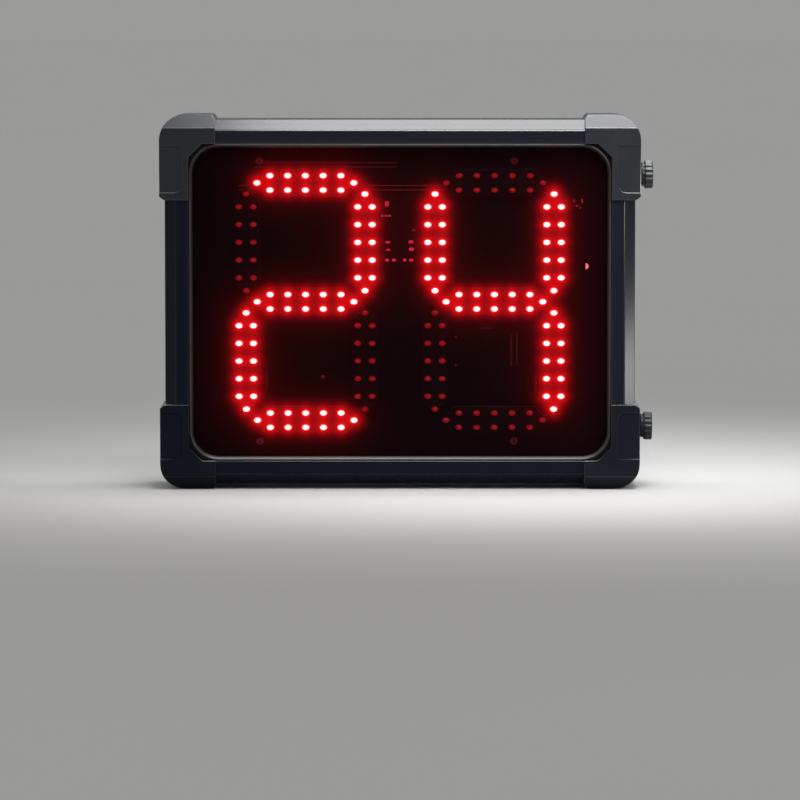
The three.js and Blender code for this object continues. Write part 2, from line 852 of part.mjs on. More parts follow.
// A keyhole: a round mouth for the screw head and a slot above it for the shank
function keyhole(x) {
  const mouthZ = casingHeight - keyholeFromTop;
  const through = [panelInnerY - cutOverrun, panelBackY + cutOverrun];
  const top = mouthZ + keyholeSlotRise;
  const slotHalf = keyholeSlotWidth / 2;
  const slotEnd = arc(x, top, slotHalf, 0, 2, padArcSteps);
  const slot = [[x - slotHalf, mouthZ], [x + slotHalf, mouthZ], ...slotEnd];
  return solid(extruded('y', circle(x, mouthZ, keyholeHeadDiameter / 2), ...through))
    .add(solid(extruded('y', slot, ...through)));
}

function soundHoles() {
  const holes = [[buzzerX, buzzerZ]];
  for (let ring = 1; ring <= soundRings; ring++) {
    holes.push(...circle(buzzerX, buzzerZ, ring * soundHolePitch, ring * soundHolesInRing));
  }
  return holes.map(([x, z]) => solid(extruded('y', circle(x, z, soundHoleDiameter / 2, smallSides),
    panelInnerY - cutOverrun, panelBackY + cutOverrun)));
}

function panelCut(x, z, wide, high) {
  return solid(block(span(x, wide + 2 * boreClearance),
    [panelInnerY - cutOverrun, panelBackY + cutOverrun], span(z, high + 2 * boreClearance)));
}

function buildBackPanel() {
  const outer = gasketFace + gasketGrip;
  const outline = rectangle(0, middleZ, windowHalfWidth + outer, windowHalfHeight + outer,
    windowRadius + outer, windowArcSteps);
  const plate = solid(extruded('y', outline, panelInnerY, panelBackY));
  placeSolid('back_panel', cutBy(plate, [
    keyhole(-keyholeSpacing / 2),
    keyhole(keyholeSpacing / 2),
    panelCut(inletX, inletZ, inletBodyWidth, inletBodyHeight),
    panelCut(switchX, switchZ, switchBodyWidth, switchBodyHeight),
    ...soundHoles(),
  ]), finishes.panel);
}

function knobHeights() {
  return [casingHeight - knobFromEnd, knobFromEnd];
}

// The fluted head: a wave round the rim, with both rims rolled over
function knobHead(z) {
  const count = knobFlutes * knobPointsPerFlute;
  const outline = Array.from({ length: count }, (_, i) => {
    const angle = (2 * Math.PI * i) / count;
    const wave = (1 - Math.cos(angle * knobFlutes)) / 2;
    const radius = knobDiameter / 2 - knobRim - knobFluteDepth * wave;
    return new THREE.Vector2(radius * Math.cos(angle), z + radius * Math.sin(angle));
  });
  const geometry = new THREE.ExtrudeGeometry(new THREE.Shape(outline), {
    depth: knobHeadLength - 2 * knobRim,
    bevelThickness: knobRim,
    bevelSize: knobRim,
    bevelSegments: 2,
  });
  geometry.translate(0, 0, knobSkirtEndX + knobRim);
  geometry.applyMatrix4(bases.x);
  return solid(geometry);
}

function buildKnob(name, z) {
  const centre = [0, 0, z];
  const boreRadius = studDiameter / 2 + boreClearance;
  const stem = solid(turned('x', centre, [
    [knobInnerX, 0],
    [knobInnerX, knobSkirtDiameter / 2],
    [knobSkirtEndX + knobRim, knobSkirtDiameter / 2],
    [knobSkirtEndX + knobRim, 0],
  ]));
  const bore = solid(turned('x', centre, [
    [knobInnerX - cutOverrun, 0],
    [knobInnerX - cutOverrun, boreRadius],
    [knobInnerX + knobBoreDepth + seatGap, boreRadius],
    [knobInnerX + knobBoreDepth + seatGap, 0],
  ]));
  const dish = solid(turned('x', centre, [
    [knobOuterX - knobDishDepth, 0],
    [knobOuterX - knobDishDepth, knobDishDiameter / 2 - knobDishDepth],
    [knobOuterX + knobDishDepth, knobDishDiameter / 2 + knobDishDepth],
    [knobOuterX + knobDishDepth, 0],
  ]));
  placeSolid(`${name}_knob`, cutBy(knobHead(z).add(stem), [bore, dish]), finishes.knob);
  const studEnd = railOuterX - studEngagement;
  place(`${name}_knob_stud`, turned('x', centre, [
    [studEnd, 0],
    [studEnd, studDiameter / 2 - studPoint],
    [studEnd + studPoint, studDiameter / 2],
    [knobInnerX + knobBoreDepth, studDiameter / 2],
    [knobInnerX + knobBoreDepth, 0],
  ]), finishes.steel);
  place(`${name}_knob_washer`, turnedRing('x', centre, washerInnerX, washerInnerX + washerThickness,
    boreRadius, washerDiameter / 2), finishes.steel);
  const bushEnd = bushFlangeX - bushLength;
  place(`${name}_knob_bush`, turned('x', centre, [
    [bushEnd, boreRadius],
    [bushEnd, bushDiameter / 2],
    [bushFlangeX - bushFlangeThickness, bushDiameter / 2],
    [bushFlangeX - bushFlangeThickness, bushFlangeDiameter / 2],
    [bushFlangeX, bushFlangeDiameter / 2],
    [bushFlangeX, bushDiameter / 2],
    [railOuterX, bushDiameter / 2],
    [railOuterX, boreRadius],
    [bushEnd, boreRadius],
  ]), finishes.brass);
}

// Inlet pins as [name, sideways, up] from the middle of the recess
function inletPins() {
  return [
    ['line', -inletPinSpacing / 2, -inletPinDrop],
    ['neutral', inletPinSpacing / 2, -inletPinDrop],
    ['earth', 0, inletPinDrop],
  ];
}

function buildInlet() {
  const faceY = flangeSeatY + inletFlangeThickness;
  const bodyEndY = flangeSeatY - inletBodyDepth;
  const floorY = bodyEndY + inletWall;
  const flange = rectangle(inletX, inletZ, inletFlangeWidth / 2, inletFlangeHeight / 2, inletFlangeRadius);
  const [wide, high] = [inletBodyWidth / 2 - inletWall, inletBodyHeight / 2 - inletWall];
  const recess = [
    [inletX - wide, inletZ - high],
    [inletX + wide, inletZ - high],
    [inletX + wide, inletZ + high - inletKeyCut],
    [inletX + wide - inletKeyCut, inletZ + high],
    [inletX - wide + inletKeyCut, inletZ + high],
    [inletX - wide, inletZ + high - inletKeyCut],
  ];
  const [holeWide, holeHigh] = [inletPinThickness + 2 * boreClearance, inletPinWidth + 2 * boreClearance];
  const holeY = [bodyEndY - cutOverrun, floorY + cutOverrun];
  const pinHoles = inletPins().map(([, dx, dz]) =>
    solid(block(span(inletX + dx, holeWide), holeY, span(inletZ + dz, holeHigh))),
  );
  const bodyY = [bodyEndY, flangeSeatY + sinkIn];
  const body = solid(block(span(inletX, inletBodyWidth), bodyY, span(inletZ, inletBodyHeight)));
  const whole = body.add(solid(extruded('y', flange, flangeSeatY, faceY)));
  const mouth = solid(extruded('y', recess, floorY, faceY + cutOverrun));
  placeSolid('power_inlet', cutBy(whole, [mouth, ...pinHoles]), finishes.blackPlastic);
  const pinY = [bodyEndY - inletTabReach, faceY - inletPinSetback];
  for (const [name, dx, dz] of inletPins()) {
    const pin = block(span(inletX + dx, inletPinThickness), pinY, span(inletZ + dz, inletPinWidth));
    place(`inlet_${name}_pin`, pin, finishes.steel);
  }
}

// The rocker's side view, [y, z] about its pin: two faces that meet in a shallow valley
function rockerOutline(halfHigh, pinY) {
  const tilt = (rockerTilt * Math.PI) / 180;
  const faceY = flangeSeatY + inletFlangeThickness;
  const valleyY = faceY + rockerStandout - halfHigh * Math.tan(tilt);
  const valley = valleyY - pinY;
  const level = [
    [valley, 0],
    [valley + halfHigh * Math.tan(tilt), halfHigh],
    [valley - halfHigh * Math.sin(tilt), halfHigh],
    ...arc(0, 0, rockerSinkDepth, rockerBellyFromQuarter, rockerBellyToQuarter, padArcSteps),
    [valley - halfHigh * Math.sin(tilt), -halfHigh],
    [valley + halfHigh * Math.tan(tilt), -halfHigh],
  ];
  return level.map(([y, z]) => [
    pinY + y * Math.cos(tilt) - z * Math.sin(tilt),
    switchZ + y * Math.sin(tilt) + z * Math.cos(tilt),
  ]);
}

function buildSwitch() {
  const faceY = flangeSeatY + inletFlangeThickness;
  const bodyEndY = flangeSeatY - switchBodyDepth;
  const pinY = faceY - rockerPinSetback;
  const wellHalfWide = switchBodyWidth / 2 - switchWall;
  const wellHalfHigh = switchBodyHeight / 2 - switchWall;
  const flangeY = [flangeSeatY, faceY];
  const bodyY = [bodyEndY, flangeSeatY + sinkIn];
  const wellY = [bodyEndY + switchWall, faceY + cutOverrun];
  const flange = solid(block(span(switchX, switchFlangeWidth), flangeY, span(switchZ, switchFlangeHeight)));
  const body = solid(block(span(switchX, switchBodyWidth), bodyY, span(switchZ, switchBodyHeight)));
  const well = solid(block(span(switchX, 2 * wellHalfWide), wellY, span(switchZ, 2 * wellHalfHigh)));
  const pinReach = wellHalfWide + rockerPinReach;
  const bore = circle(pinY, switchZ, rockerPinDiameter / 2 + boreClearance);
  const pinBore = solid(extruded('x', bore, ...span(switchX, 2 * (pinReach + seatGap))));
  placeSolid('switch_housing', cutBy(flange.add(body), [well, pinBore]), finishes.blackPlastic);
  const outline = rockerOutline(wellHalfHigh - 2 * rockerPlay, pinY);
  const paddle = solid(extruded('x', outline, ...span(switchX, 2 * (wellHalfWide - rockerPlay))));
  const pinSection = circle(pinY, switchZ, rockerPinDiameter / 2);
  const pin = solid(extruded('x', pinSection, ...span(switchX, 2 * (pinReach - rockerPlay))));
  placeSolid('power_rocker', paddle.add(pin), finishes.blackPlastic);
}

// The vented power supply and its terminal block
function buildSupply() {
  const y = [shelfY - supplyDepth, shelfY];
  const cage = solid(block(span(supplyX, supplyWidth), y, span(supplyZ, supplyHeight)));
  const ventY = [y[0] - cutOverrun, y[0] + supplyVentDepth];
  const vents = Array.from({ length: supplyVentCount }, (_, i) => {
    const x = supplyX + (i - (supplyVentCount - 1) / 2) * supplyVentPitch;
    return solid(block(span(x, supplyVentWidth), ventY, span(supplyZ, supplyVentLength)));
  });
  placeSolid('power_supply', cutBy(cage, vents), finishes.cage);
  const x0 = supplyX + supplyWidth / 2 + seatGap;
  const blockY = [shelfY - terminalDepth, shelfY];
  const body = solid(block([x0, x0 + terminalWidth], blockY, span(supplyZ, terminalHeight)));
  const bayPitch = (terminalHeight - terminalWall) / terminalBays;
  const bays = Array.from({ length: terminalBays }, (_, i) => {
    const z = supplyZ + (i - (terminalBays - 1) / 2) * bayPitch;
    return solid(block([x0 + terminalWall, x0 + terminalWidth + cutOverrun],
      [blockY[0] - cutOverrun, blockY[0] + terminalBayDepth], span(z, bayPitch - terminalWall)));
  });
  placeSolid('supply_terminals', cutBy(body, bays), finishes.blackPlastic);
}

// The control board on its four spacers, with its processor, relay and flat cable header
function buildControl() {
  const onBoard = (x, z, wide, high, tall) =>
    solid(block(span(x, wide), [controlFrontY - tall, controlFrontY + sinkIn], span(z, high)));
  const plateY = [controlFrontY, controlBackY];
  const plate = solid(block(span(controlX, controlWidth), plateY, span(controlZ, controlHeight)));
  const spacerX = controlWidth / 2 - controlSpacerInset;
  const spacerZ = controlHeight / 2 - controlSpacerInset;
  const spacers = [[-1, 1], [1, 1], [-1, -1], [1, -1]].map(([sx, sz]) => {
    const [x, z] = [controlX + sx * spacerX, controlZ + sz * spacerZ];
    const section = circle(x, z, controlSpacerDiameter / 2, smallSides);
    return solid(extruded('y', section, controlBackY - sinkIn, shelfY));
  });
  const processorX = controlX - processorFromMiddle;
  const processorZ = controlZ - processorDrop;
  const processor = onBoard(processorX, processorZ, processorSize, processorSize, processorHeight);
  const relayX = controlX + controlWidth / 2 - relaySize;
  const relayZ = controlZ - controlHeight / 2 + relaySize;
  const relay = onBoard(relayX, relayZ, relaySize, relaySize, relayHeight);
  const header = onBoard(headerX, headerZ, headerWidth, headerLength, headerHeight);
  placeSolid('control_board', joined([plate, ...spacers, processor, relay, header]), finishes.circuit);
}

// The radio receiver stands on its pins above the control board
function buildRadio() {
  const seatY = controlFrontY - seatGap;
  const backY = seatY - radioPinHeight;
  const frontY = backY - radioBoardThickness;
  const z = controlZ + controlHeight / 2 - radioHeight;
  const canWidth = radioWidth - 2 * radioCanInset;
  const canHeight = radioHeight - 2 * radioCanInset;
  const canY = [frontY - radioCanHeight, frontY + sinkIn];
  const plate = solid(block(span(radioX, radioWidth), [frontY, backY], span(z, radioHeight)));
  const can = solid(block(span(radioX, canWidth), canY, span(z, canHeight)));
  const pins = solid(block(span(radioX, canWidth), [backY - sinkIn, seatY], span(z, radioPinWidth)));
  placeSolid('radio_receiver', joined([plate, can, pins]), finishes.circuit);
}

// The buzzer is a round can whose mouth faces the sound holes
function buildBuzzer() {
  const [front, back] = [shelfY - buzzerDepth, shelfY];
  place('buzzer', turned('y', [buzzerX, 0, buzzerZ], [
    [front, 0],
    [front, buzzerDiameter / 2 - buzzerRim],
    [front + buzzerRim, buzzerDiameter / 2],
    [back, buzzerDiameter / 2],
    [back, buzzerThroatDiameter / 2],
    [back - buzzerThroatDepth, buzzerThroatDiameter / 2 - buzzerRim],
    [back - buzzerThroatDepth, 0],
  ]), finishes.blackPlastic);
}

// Leads run from face to face inside the casing, clear of all else
function buildLeads() {
  const inletTabX = inletX - inletPinSpacing / 2;
  const inletTabZ = inletZ - inletPinDrop;
  const inletTabY = flangeSeatY - inletBodyDepth - inletTabReach - seatGap;
  const switchEndY = flangeSeatY - switchBodyDepth - seatGap;
  const upperTabZ = switchZ + switchTabSpacing / 2;
  const lowerTabZ = switchZ - switchTabSpacing / 2;
  place('mains_lead', lead([
    [inletTabX, inletTabY, inletTabZ],
    [inletTabX, inletTabY - leadStraight, inletTabZ],
    [(inletX + switchX) / 2, inletTabY - leadLift, inletTabZ],
    [switchX, switchEndY - leadStraight - leadLift / 2, upperTabZ],
    [switchX, switchEndY - leadStraight, upperTabZ],
    [switchX, switchEndY, upperTabZ],
  ]), finishes.cable);
  const terminalX = supplyX + supplyWidth / 2 + seatGap + terminalWidth + seatGap;
  const terminalY = shelfY - (terminalDepth - terminalBayDepth) / 2;
  const bay = (terminalHeight - terminalWall) / terminalBays;
  const mainsBayZ = supplyZ - 2 * bay;
  const outputBayZ = supplyZ + bay;
  place('switched_lead', lead([
    [switchX, switchEndY, lowerTabZ],
    [switchX, switchEndY - leadStraight, lowerTabZ],
    [switchX - leadLift, switchEndY - leadStraight, lowerTabZ],
    [(switchX + terminalX) / 2, switchEndY, (lowerTabZ + mainsBayZ) / 2],
    [terminalX + leadLift, terminalY, mainsBayZ],
    [terminalX + leadStraight, terminalY, mainsBayZ],
    [terminalX, terminalY, mainsBayZ],
  ]), finishes.cable);
  const controlY = (controlFrontY + controlBackY) / 2;
  const controlLeft = controlX - controlWidth / 2 - seatGap;
  place('supply_lead', lead([
    [terminalX, terminalY, outputBayZ],
    [terminalX + leadStraight, terminalY, outputBayZ],
    [terminalX + leadLift, terminalY, outputBayZ],
    [controlLeft - leadLift, controlY, controlZ],
    [controlLeft - leadStraight, controlY, controlZ],
    [controlLeft, controlY, controlZ],
  ]), finishes.cable);
  place('buzzer_lead', lead([
    [buzzerX, controlY, controlZ + controlHeight / 2 + seatGap],
    [buzzerX, controlY, buzzerZ - buzzerDiameter / 2 - seatGap],
  ]), finishes.cable);
  buildRibbon();
}

// The flat cable, between the control board's header and the display board's socket
function buildRibbon() {
  const headerY = controlFrontY - headerHeight - seatGap;
  const socketY = boardBackY + socketHeight + seatGap;
  const route = [
    [headerX, headerY, headerZ],
    [headerX, headerY - ribbonStraight, headerZ],
    [headerX + ribbonBow, (headerY + socketY) / 2, headerZ],
    [headerX, socketY + ribbonStraight, headerZ],
    [headerX, socketY, headerZ],
  ];
  const section = rectangle(0, 0, ribbonWidth / 2, ribbonThickness / 2);
  place('display_ribbon', carried(section, route), finishes.ribbon);
}

buildRails();
buildCorners();
buildFilter();
buildDisplayBoard();
buildDigits();
buildBackPanel();
buildKnob('upper', knobHeights()[0]);
buildKnob('lower', knobHeights()[1]);
buildInlet();
buildSwitch();
buildSupply();
buildControl();
buildRadio();
buildBuzzer();
buildLeads();

export default clock;
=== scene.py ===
"""The shot clock's surfaces and finishes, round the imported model, laid out as a Blender add-on.

Lengths are metres. The display faces -Y, +Z is up and +X is to the right as the digits are read.
"""

import math
from contextlib import contextmanager

import bmesh
import bpy
import numpy as np
from bpy.props import FloatProperty, FloatVectorProperty, IntProperty, PointerProperty
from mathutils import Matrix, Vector


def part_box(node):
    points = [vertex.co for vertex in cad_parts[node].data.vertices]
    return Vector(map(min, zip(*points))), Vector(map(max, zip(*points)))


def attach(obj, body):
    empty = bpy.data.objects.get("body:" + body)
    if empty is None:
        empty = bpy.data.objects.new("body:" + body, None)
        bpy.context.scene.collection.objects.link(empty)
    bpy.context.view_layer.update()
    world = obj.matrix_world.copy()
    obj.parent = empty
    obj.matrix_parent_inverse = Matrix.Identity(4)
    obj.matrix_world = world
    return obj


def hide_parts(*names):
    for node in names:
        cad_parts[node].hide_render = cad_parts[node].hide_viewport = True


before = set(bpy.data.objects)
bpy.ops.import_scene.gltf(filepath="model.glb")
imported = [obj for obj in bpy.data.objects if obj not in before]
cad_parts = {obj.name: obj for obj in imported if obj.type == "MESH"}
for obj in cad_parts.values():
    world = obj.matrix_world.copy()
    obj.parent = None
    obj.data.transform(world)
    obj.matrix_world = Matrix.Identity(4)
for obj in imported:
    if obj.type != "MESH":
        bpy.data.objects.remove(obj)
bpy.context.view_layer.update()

bl_info = {
    "name": "Shot clock",
    "version": (1, 0, 0),
    "blender": (4, 5, 0),
    "location": "3D View > Sidebar > Shot clock",
    "description": "Makes the surfaces, finishes and studio of a two-digit shot clock",
    "category": "Object",
}

MM = 0.001
MERGE_DISTANCE = 1e-6
FLAT_ANGLE = math.radians(0.5)
SHARP_ANGLE = math.radians(32)
IMAGE_PIXELS = 800

# Gloss of each rail, corner and thumb knob, set apart as painted light: the lower and left pieces get less
# gloss as painted shade, the upper right ones more as painted sheen
RAIL_PAINTED_LIGHT_GLOSS = {"top_rail": 0.28, "bottom_rail": 0.06, "left_rail": 0.10, "right_rail": 0.26}
CORNER_PAINTED_LIGHT_GLOSS = {
    "top_left_corner": 0.52, "top_right_corner": 0.60, "bottom_left_corner": 0.06,
    "bottom_right_corner": 0.14,
}
KNOB_PAINTED_LIGHT_GLOSS = {"upper_knob": 0.50, "lower_knob": 0.18}
PINS = ("inlet_line_pin", "inlet_neutral_pin", "inlet_earth_pin")
STANDOFFS = tuple(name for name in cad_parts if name.endswith("_board_standoff"))
SIDES = ("left", "right")
SEGMENT_LETTERS = "abcdefg"
LIT_SEGMENTS = ("abcdef", "bc", "abged", "abgcd", "fgbc", "afgcd", "afgedc", "abc", "abcdefg", "abcdfg")

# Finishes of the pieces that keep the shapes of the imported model
KEPT_FINISHES = {
    "panel": ("back_panel",),
    "brass": (*STANDOFFS, "upper_knob_bush", "lower_knob_bush"),
    "cage": ("power_supply",),
    "black_plastic": ("supply_terminals", "buzzer"),
    "circuit": ("control_board", "radio_receiver"),
    "cable": ("mains_lead", "switched_lead", "supply_lead", "buzzer_lead"),
    "ribbon": ("display_ribbon",),
    "board": ("display_board",),
}


# Settings

def length_field(name, description, default_mm):
    return FloatProperty(name=name, description=description, default=default_mm * MM, unit="LENGTH")


def count_field(name, description, default, **limits):
    return IntProperty(name=name, description=description, default=default, **limits)


def share_field(name, description, default):
    return FloatProperty(
        name=name, description=description, default=default, min=0, max=1, subtype="FACTOR")


def colour_field(name, description, default):
    return FloatVectorProperty(
        name=name, description=description, default=default, subtype="COLOR", min=0, max=1)


class ClockSizes(bpy.types.PropertyGroup):
    """Sizes of the clock's fine surfaces"""

    rail_softness: length_field("Rail edges", "Rounding of the rails' edges", 0.7)
    corner_softness: length_field("Corner edges", "Rounding of the moulded corners' edges", 0.5)
    trim_softness: length_field(
        "Trim edges", "Rounding of the filter's, inlet's and switch's edges", 0.3)
    gasket_fillet: length_field("Gasket fillet", "Rounding along the gasket's lips", 0.35)
    window_radius: length_field("Window radius", "Radius of the window's corners", 20)
    holder_thickness: length_field("Holder thickness", "Thickness of a segment's lamp holder", 4)
    holder_fillet: length_field("Holder fillet", "Rounding of a lamp holder's front edge", 0.6)
    lamp_pitch: length_field("Lamp pitch", "Distance between lamps along a segment", 13.87)
    lamp_rows: length_field("Lamp rows", "Distance between a segment's two rows of lamps", 11.3)
    lamp_end_reach: length_field(
        "End lamps", "Distance of the end lamps from the segment's middle", 37.8)
    lamp_columns: count_field("Lamp columns", "Lamps in each row of a segment", 5, min=1)
    lens_width: length_field("Lens width", "Width of a lamp's oval lens", 5.8)
    lens_height: length_field("Lens height", "Height of a lamp's oval lens", 4.4)
    knob_flutes: count_field("Knob flutes", "Grooves round a thumb knob", 16, min=3)
    flute_depth: length_field("Flute depth", "Depth of a thumb knob's grooves", 0.9)
    thread_pitch: length_field("Thread pitch", "Pitch of the knob studs' thread", 1)
    thread_depth: length_field("Thread depth", "Depth of the knob studs' thread", 0.5)
    screw_diameter: length_field("Screw head", "Diameter of the corner screws' heads", 6.4)
    glow_reach: length_field("Glow reach", "How far a lit lamp's light spreads on its holder", 6.2)


class ClockColours(bpy.types.PropertyGroup):
    """Digits shown and colours of the clock"""

    left_digit: count_field("Left digit", "Digit that the left lamps show", 2, min=0, max=9)
    right_digit: count_field("Right digit", "Digit that the right lamps show", 4, min=0, max=9)
    rail: colour_field("Rails", "Anodised colour of the rails", (0.0025, 0.0035, 0.0085))
    corner: colour_field("Corners", "Colour of the moulded corners", (0.004, 0.005, 0.009))
    gasket: colour_field("Gasket", "Colour of the rubber gasket", (0.028, 0.028, 0.030))
    tint: colour_field("Filter", "Colour of the tinted filter", (0.004, 0.0002, 0.0008))
    tint_depth: share_field("Filter depth", "Share of the light that the filter keeps back", 0.7)
    mask: colour_field("Board", "Colour of the display board's solder mask", (0.004, 0.001, 0.001))
    lamp_core: colour_field("Lamp core", "Colour of a lit lamp's middle", (1.0, 0.90, 0.84))
    lamp_red: colour_field("Lamp red", "Colour of the lamps' light round them", (1.0, 0.004, 0.008))
    lens: colour_field("Lens", "Colour of an unlit lamp's lens", (0.40, 0.006, 0.012))
    # Colour of the red glints painted on the board's small parts
    small_part_glints: colour_field(
        "Small parts", "Colour in which the board's small parts show", (1.0, 0.015, 0.060))
    knob: colour_field("Knobs", "Colour of the thumb knobs", (0.018, 0.019, 0.022))


class ClockStage(bpy.types.PropertyGroup):
    """Camera, lamps and floor round the clock"""

    elevation: FloatProperty(
        name="Elevation", description="Height of the camera's view above the horizon",
        default=math.radians(3.5), subtype="ANGLE")
    distance: length_field("Distance", "Distance of the camera from the clock", 3700)
    pixel_size: length_field("Pixel size", "Size of a pixel of the image at the clock", 0.787)
    rise_pixels: FloatProperty(
        name="Rise", description="Pixels from the image's middle up to the clock's middle", default=99.8)
    floor: colour_field("Floor", "Colour of the floor", (0.385, 0.383, 0.379))
    backdrop: share_field(
        "Background", "Brightness that the camera and gloss see past the floor", 0.33)
    fill: share_field("Fill", "Brightness of the light from all round", 0.85)


def sizes():
    return bpy.context.scene.clock_sizes


def colours():
    return bpy.context.scene.clock_colours


def stage():
    return bpy.context.scene.clock_stage


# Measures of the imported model

def node_box(name):
    """Lowest and highest corner of a node as arrays."""
    low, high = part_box(name)
    return np.array(low), np.array(high)


def node_middle(name):
    """Middle and half sizes of a node's box."""
    low, high = node_box(name)
    return (low + high) / 2, (high - low) / 2


def casing_middle():
    """Middle of the box round the four moulded corners."""
    boxes = np.array([node_box(name) for name in CORNER_PAINTED_LIGHT_GLOSS])
    return (boxes[:, 0].min(0) + boxes[:, 1].max(0)) / 2


# Meshes

def sheet_quads(rows, columns, round_rows=False, round_columns=False):
    """Quads between the neighbours in a grid of points, joined end to end where it goes round."""
    i, j = np.meshgrid(
        np.arange(rows if round_rows else rows - 1),
        np.arange(columns if round_columns else columns - 1), indexing="ij")
    below, beside = (i + 1) % rows, (j + 1) % columns
    quads = [i * columns + j, i * columns + beside, below * columns + beside, below * columns + j]
    return np.stack(quads, -1).reshape(-1, 4)


def full_turn(sides):
    """Even angles round a circle."""
    return np.linspace(0, 2 * math.pi, sides, endpoint=False)


def grid_points(x, y, z):
    """Points from three arrays that are spread to one shape."""
    return np.stack(np.broadcast_arrays(x, y, z), -1)


@contextmanager
def editing(mesh, sharp=SHARP_ANGLE):
    """The mesh's points, edges and faces to change. They are then written back, smooth but for the
    edges that bend by more than the sharp angle."""
    edit = bmesh.new()
    edit.from_mesh(mesh)
    yield edit
    edit.to_mesh(mesh)
    edit.free()
    mesh.polygons.foreach_set("use_smooth", np.ones(len(mesh.polygons), bool))
    mesh.set_sharp_from_angle(angle=sharp)


def built_mesh(name, parts, attributes=None, sharp=SHARP_ANGLE):
    """A mesh of (points, quads) parts. Points that coincide are merged, so poles and seams close, an
    open end gets one face, and faces are turned outwards. Attributes hold one number for each
    point, in the parts' order."""
    points = np.concatenate([part.reshape(-1, 3) for part, _ in parts])
    starts = np.cumsum([0] + [part.size // 3 for part, _ in parts[:-1]])
    quads = np.concatenate([part + start for (_, part), start in zip(parts, starts, strict=True)])
    mesh = bpy.data.meshes.new(name)
    mesh.from_pydata(points.tolist(), [], quads.tolist())
    for key, values in (attributes or {}).items():
        layer = mesh.attributes.new(key, "FLOAT", "POINT")
        layer.data.foreach_set("value", np.concatenate([np.ravel(v) for v in values]).astype(np.float32))
    with editing(mesh, sharp) as edit:
        bmesh.ops.remove_doubles(edit, verts=edit.verts, dist=MERGE_DISTANCE)
        bmesh.ops.holes_fill(edit, edges=[edge for edge in edit.edges if edge.is_boundary])
        bmesh.ops.recalc_face_normals(edit, faces=edit.faces)
    return mesh


def settled(item, **values):
    """The item with its settings."""
    for key, value in values.items():
        setattr(item, key, value)
    return item


def piece(mesh, look, body="casing", stands_for=()):
    """A shown piece that is named as its mesh, lies at the origin with its place in its mesh, and
    rides on a body. The look is a finish's name or a list of materials."""
    made = bpy.data.objects.new(mesh.name, mesh)
    bpy.context.scene.collection.objects.link(made)
    for material in [finish(look)] if isinstance(look, str) else look:
        mesh.materials.append(material)
    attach(made, body)
    if stands_for:
        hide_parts(*stands_for)
    return made


def softened(node, suffix, look, width, body="casing", shortest=1.5 * MM,
             merge=MERGE_DISTANCE, segments=2):
    """A copy of a node's shape with its flats merged and its outward edges rounded, apart from those
    of small holes and steps, which are shorter than the shortest edge that is given. Points within
    the merge distance of each other become one. The last of its materials goes on the roundings."""
    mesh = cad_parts[node].data.copy()
    mesh.name = f"{node}_{suffix}"
    mesh.materials.clear()
    with editing(mesh) as edit:
        bmesh.ops.remove_doubles(edit, verts=edit.verts, dist=merge)
        bmesh.ops.dissolve_limit(edit, angle_limit=FLAT_ANGLE, verts=edit.verts, edges=edit.edges)
        edit.normal_update()
        weights = edit.edges.layers.float.new("bevel_weight_edge")
        for edge in edit.edges:
            sharp = edge.calc_face_angle_signed(0) > SHARP_ANGLE
            edge[weights] = float(sharp and edge.calc_length() > shortest)
    made = piece(mesh, look, body, (node,))
    settled(
        made.modifiers.new("Rounded edges", "BEVEL"), width=width, segments=segments,
        limit_method="WEIGHT", use_clamp_overlap=True, material=len(mesh.materials) - 1)
    settled(made.modifiers.new("Even flats", "WEIGHTED_NORMAL"), keep_sharp=True)


def turned_part(along, reach, centre):
    """A surface turned about a line along X: points are (along, reach cos t, reach sin t), with a
    reach for each place along it and each turn t."""
    turn = full_turn(reach.shape[1])
    y, z = centre[1] + reach * np.cos(turn), centre[2] + reach * np.sin(turn)
    return grid_points(along[:, None], y, z), sheet_quads(*reach.shape, round_columns=True)


def filleted(outline, radius, steps=5):
    """A closed outline whose corners are rounded: each corner p gives way to the curve
    (1 - t)^2 a + 2t (1 - t) p + t^2 b, whose ends a and b lie on its two sides at the radius from
    it, or halfway along a side that is shorter than twice the radius."""
    sides = [np.roll(outline, shift, 0) - outline for shift in (1, -1)]
    start, end = (
        outline + side * np.minimum(0.5, radius / np.linalg.norm(side, axis=1, keepdims=True))
        for side in sides)
    t = np.linspace(0, 1, steps)[:, None]
    curves = (1 - t) ** 2 * start[:, None] + 2 * t * (1 - t) * outline[:, None] + t ** 2 * end[:, None]
    return curves.reshape(-1, 2)


# Shader nodes, and the groups that the finishes share

def wire(tree, inputs, links):
    """Links or sets inputs, by name or number."""
    for key, source in links.items():
        if isinstance(source, bpy.types.NodeSocket):
            tree.links.new(source, inputs[key])
        else:
            inputs[key].default_value = source


def add(tree, kind, links=None, **values):
    """A node with its settings and its inputs."""
    node = settled(tree.nodes.new(kind), **values)
    wire(tree, node.inputs, links or {})
    return node


def worked_out(tree, operation, first, second, clamp=False):
    """The result of an operation on two numbers."""
    links = {0: first, 1: second}
    return add(tree, "ShaderNodeMath", links, operation=operation, use_clamp=clamp).outputs[0]


def ramp(tree, value, start=0.0, end=1.0, low=0.0, high=1.0):
    """A number that runs from low to high as the value goes from start to end."""
    return add(tree, "ShaderNodeMapRange", {
        "Value": value, "From Min": start, "From Max": end, "To Min": low, "To Max": high}).outputs[0]


def noise(tree, place, scale, detail, roughness):
    return add(tree, "ShaderNodeTexNoise", {
        "Vector": place, "Scale": scale, "Detail": detail, "Roughness": roughness}).outputs["Fac"]


def blend_colours(tree, factor, first, second):
    """A colour mix, whose result is the node's third output."""
    return add(tree, "ShaderNodeMix", {0: factor, 6: first, 7: second}, data_type="RGBA").outputs[2]


def height_of(tree, vector):
    return add(tree, "ShaderNodeSeparateXYZ", {0: vector}).outputs["Z"]


def attribute_of(tree, name):
    return add(tree, "ShaderNodeAttribute", attribute_name=name).outputs["Fac"]


def spaced(name):
    return name.replace("_", " ")


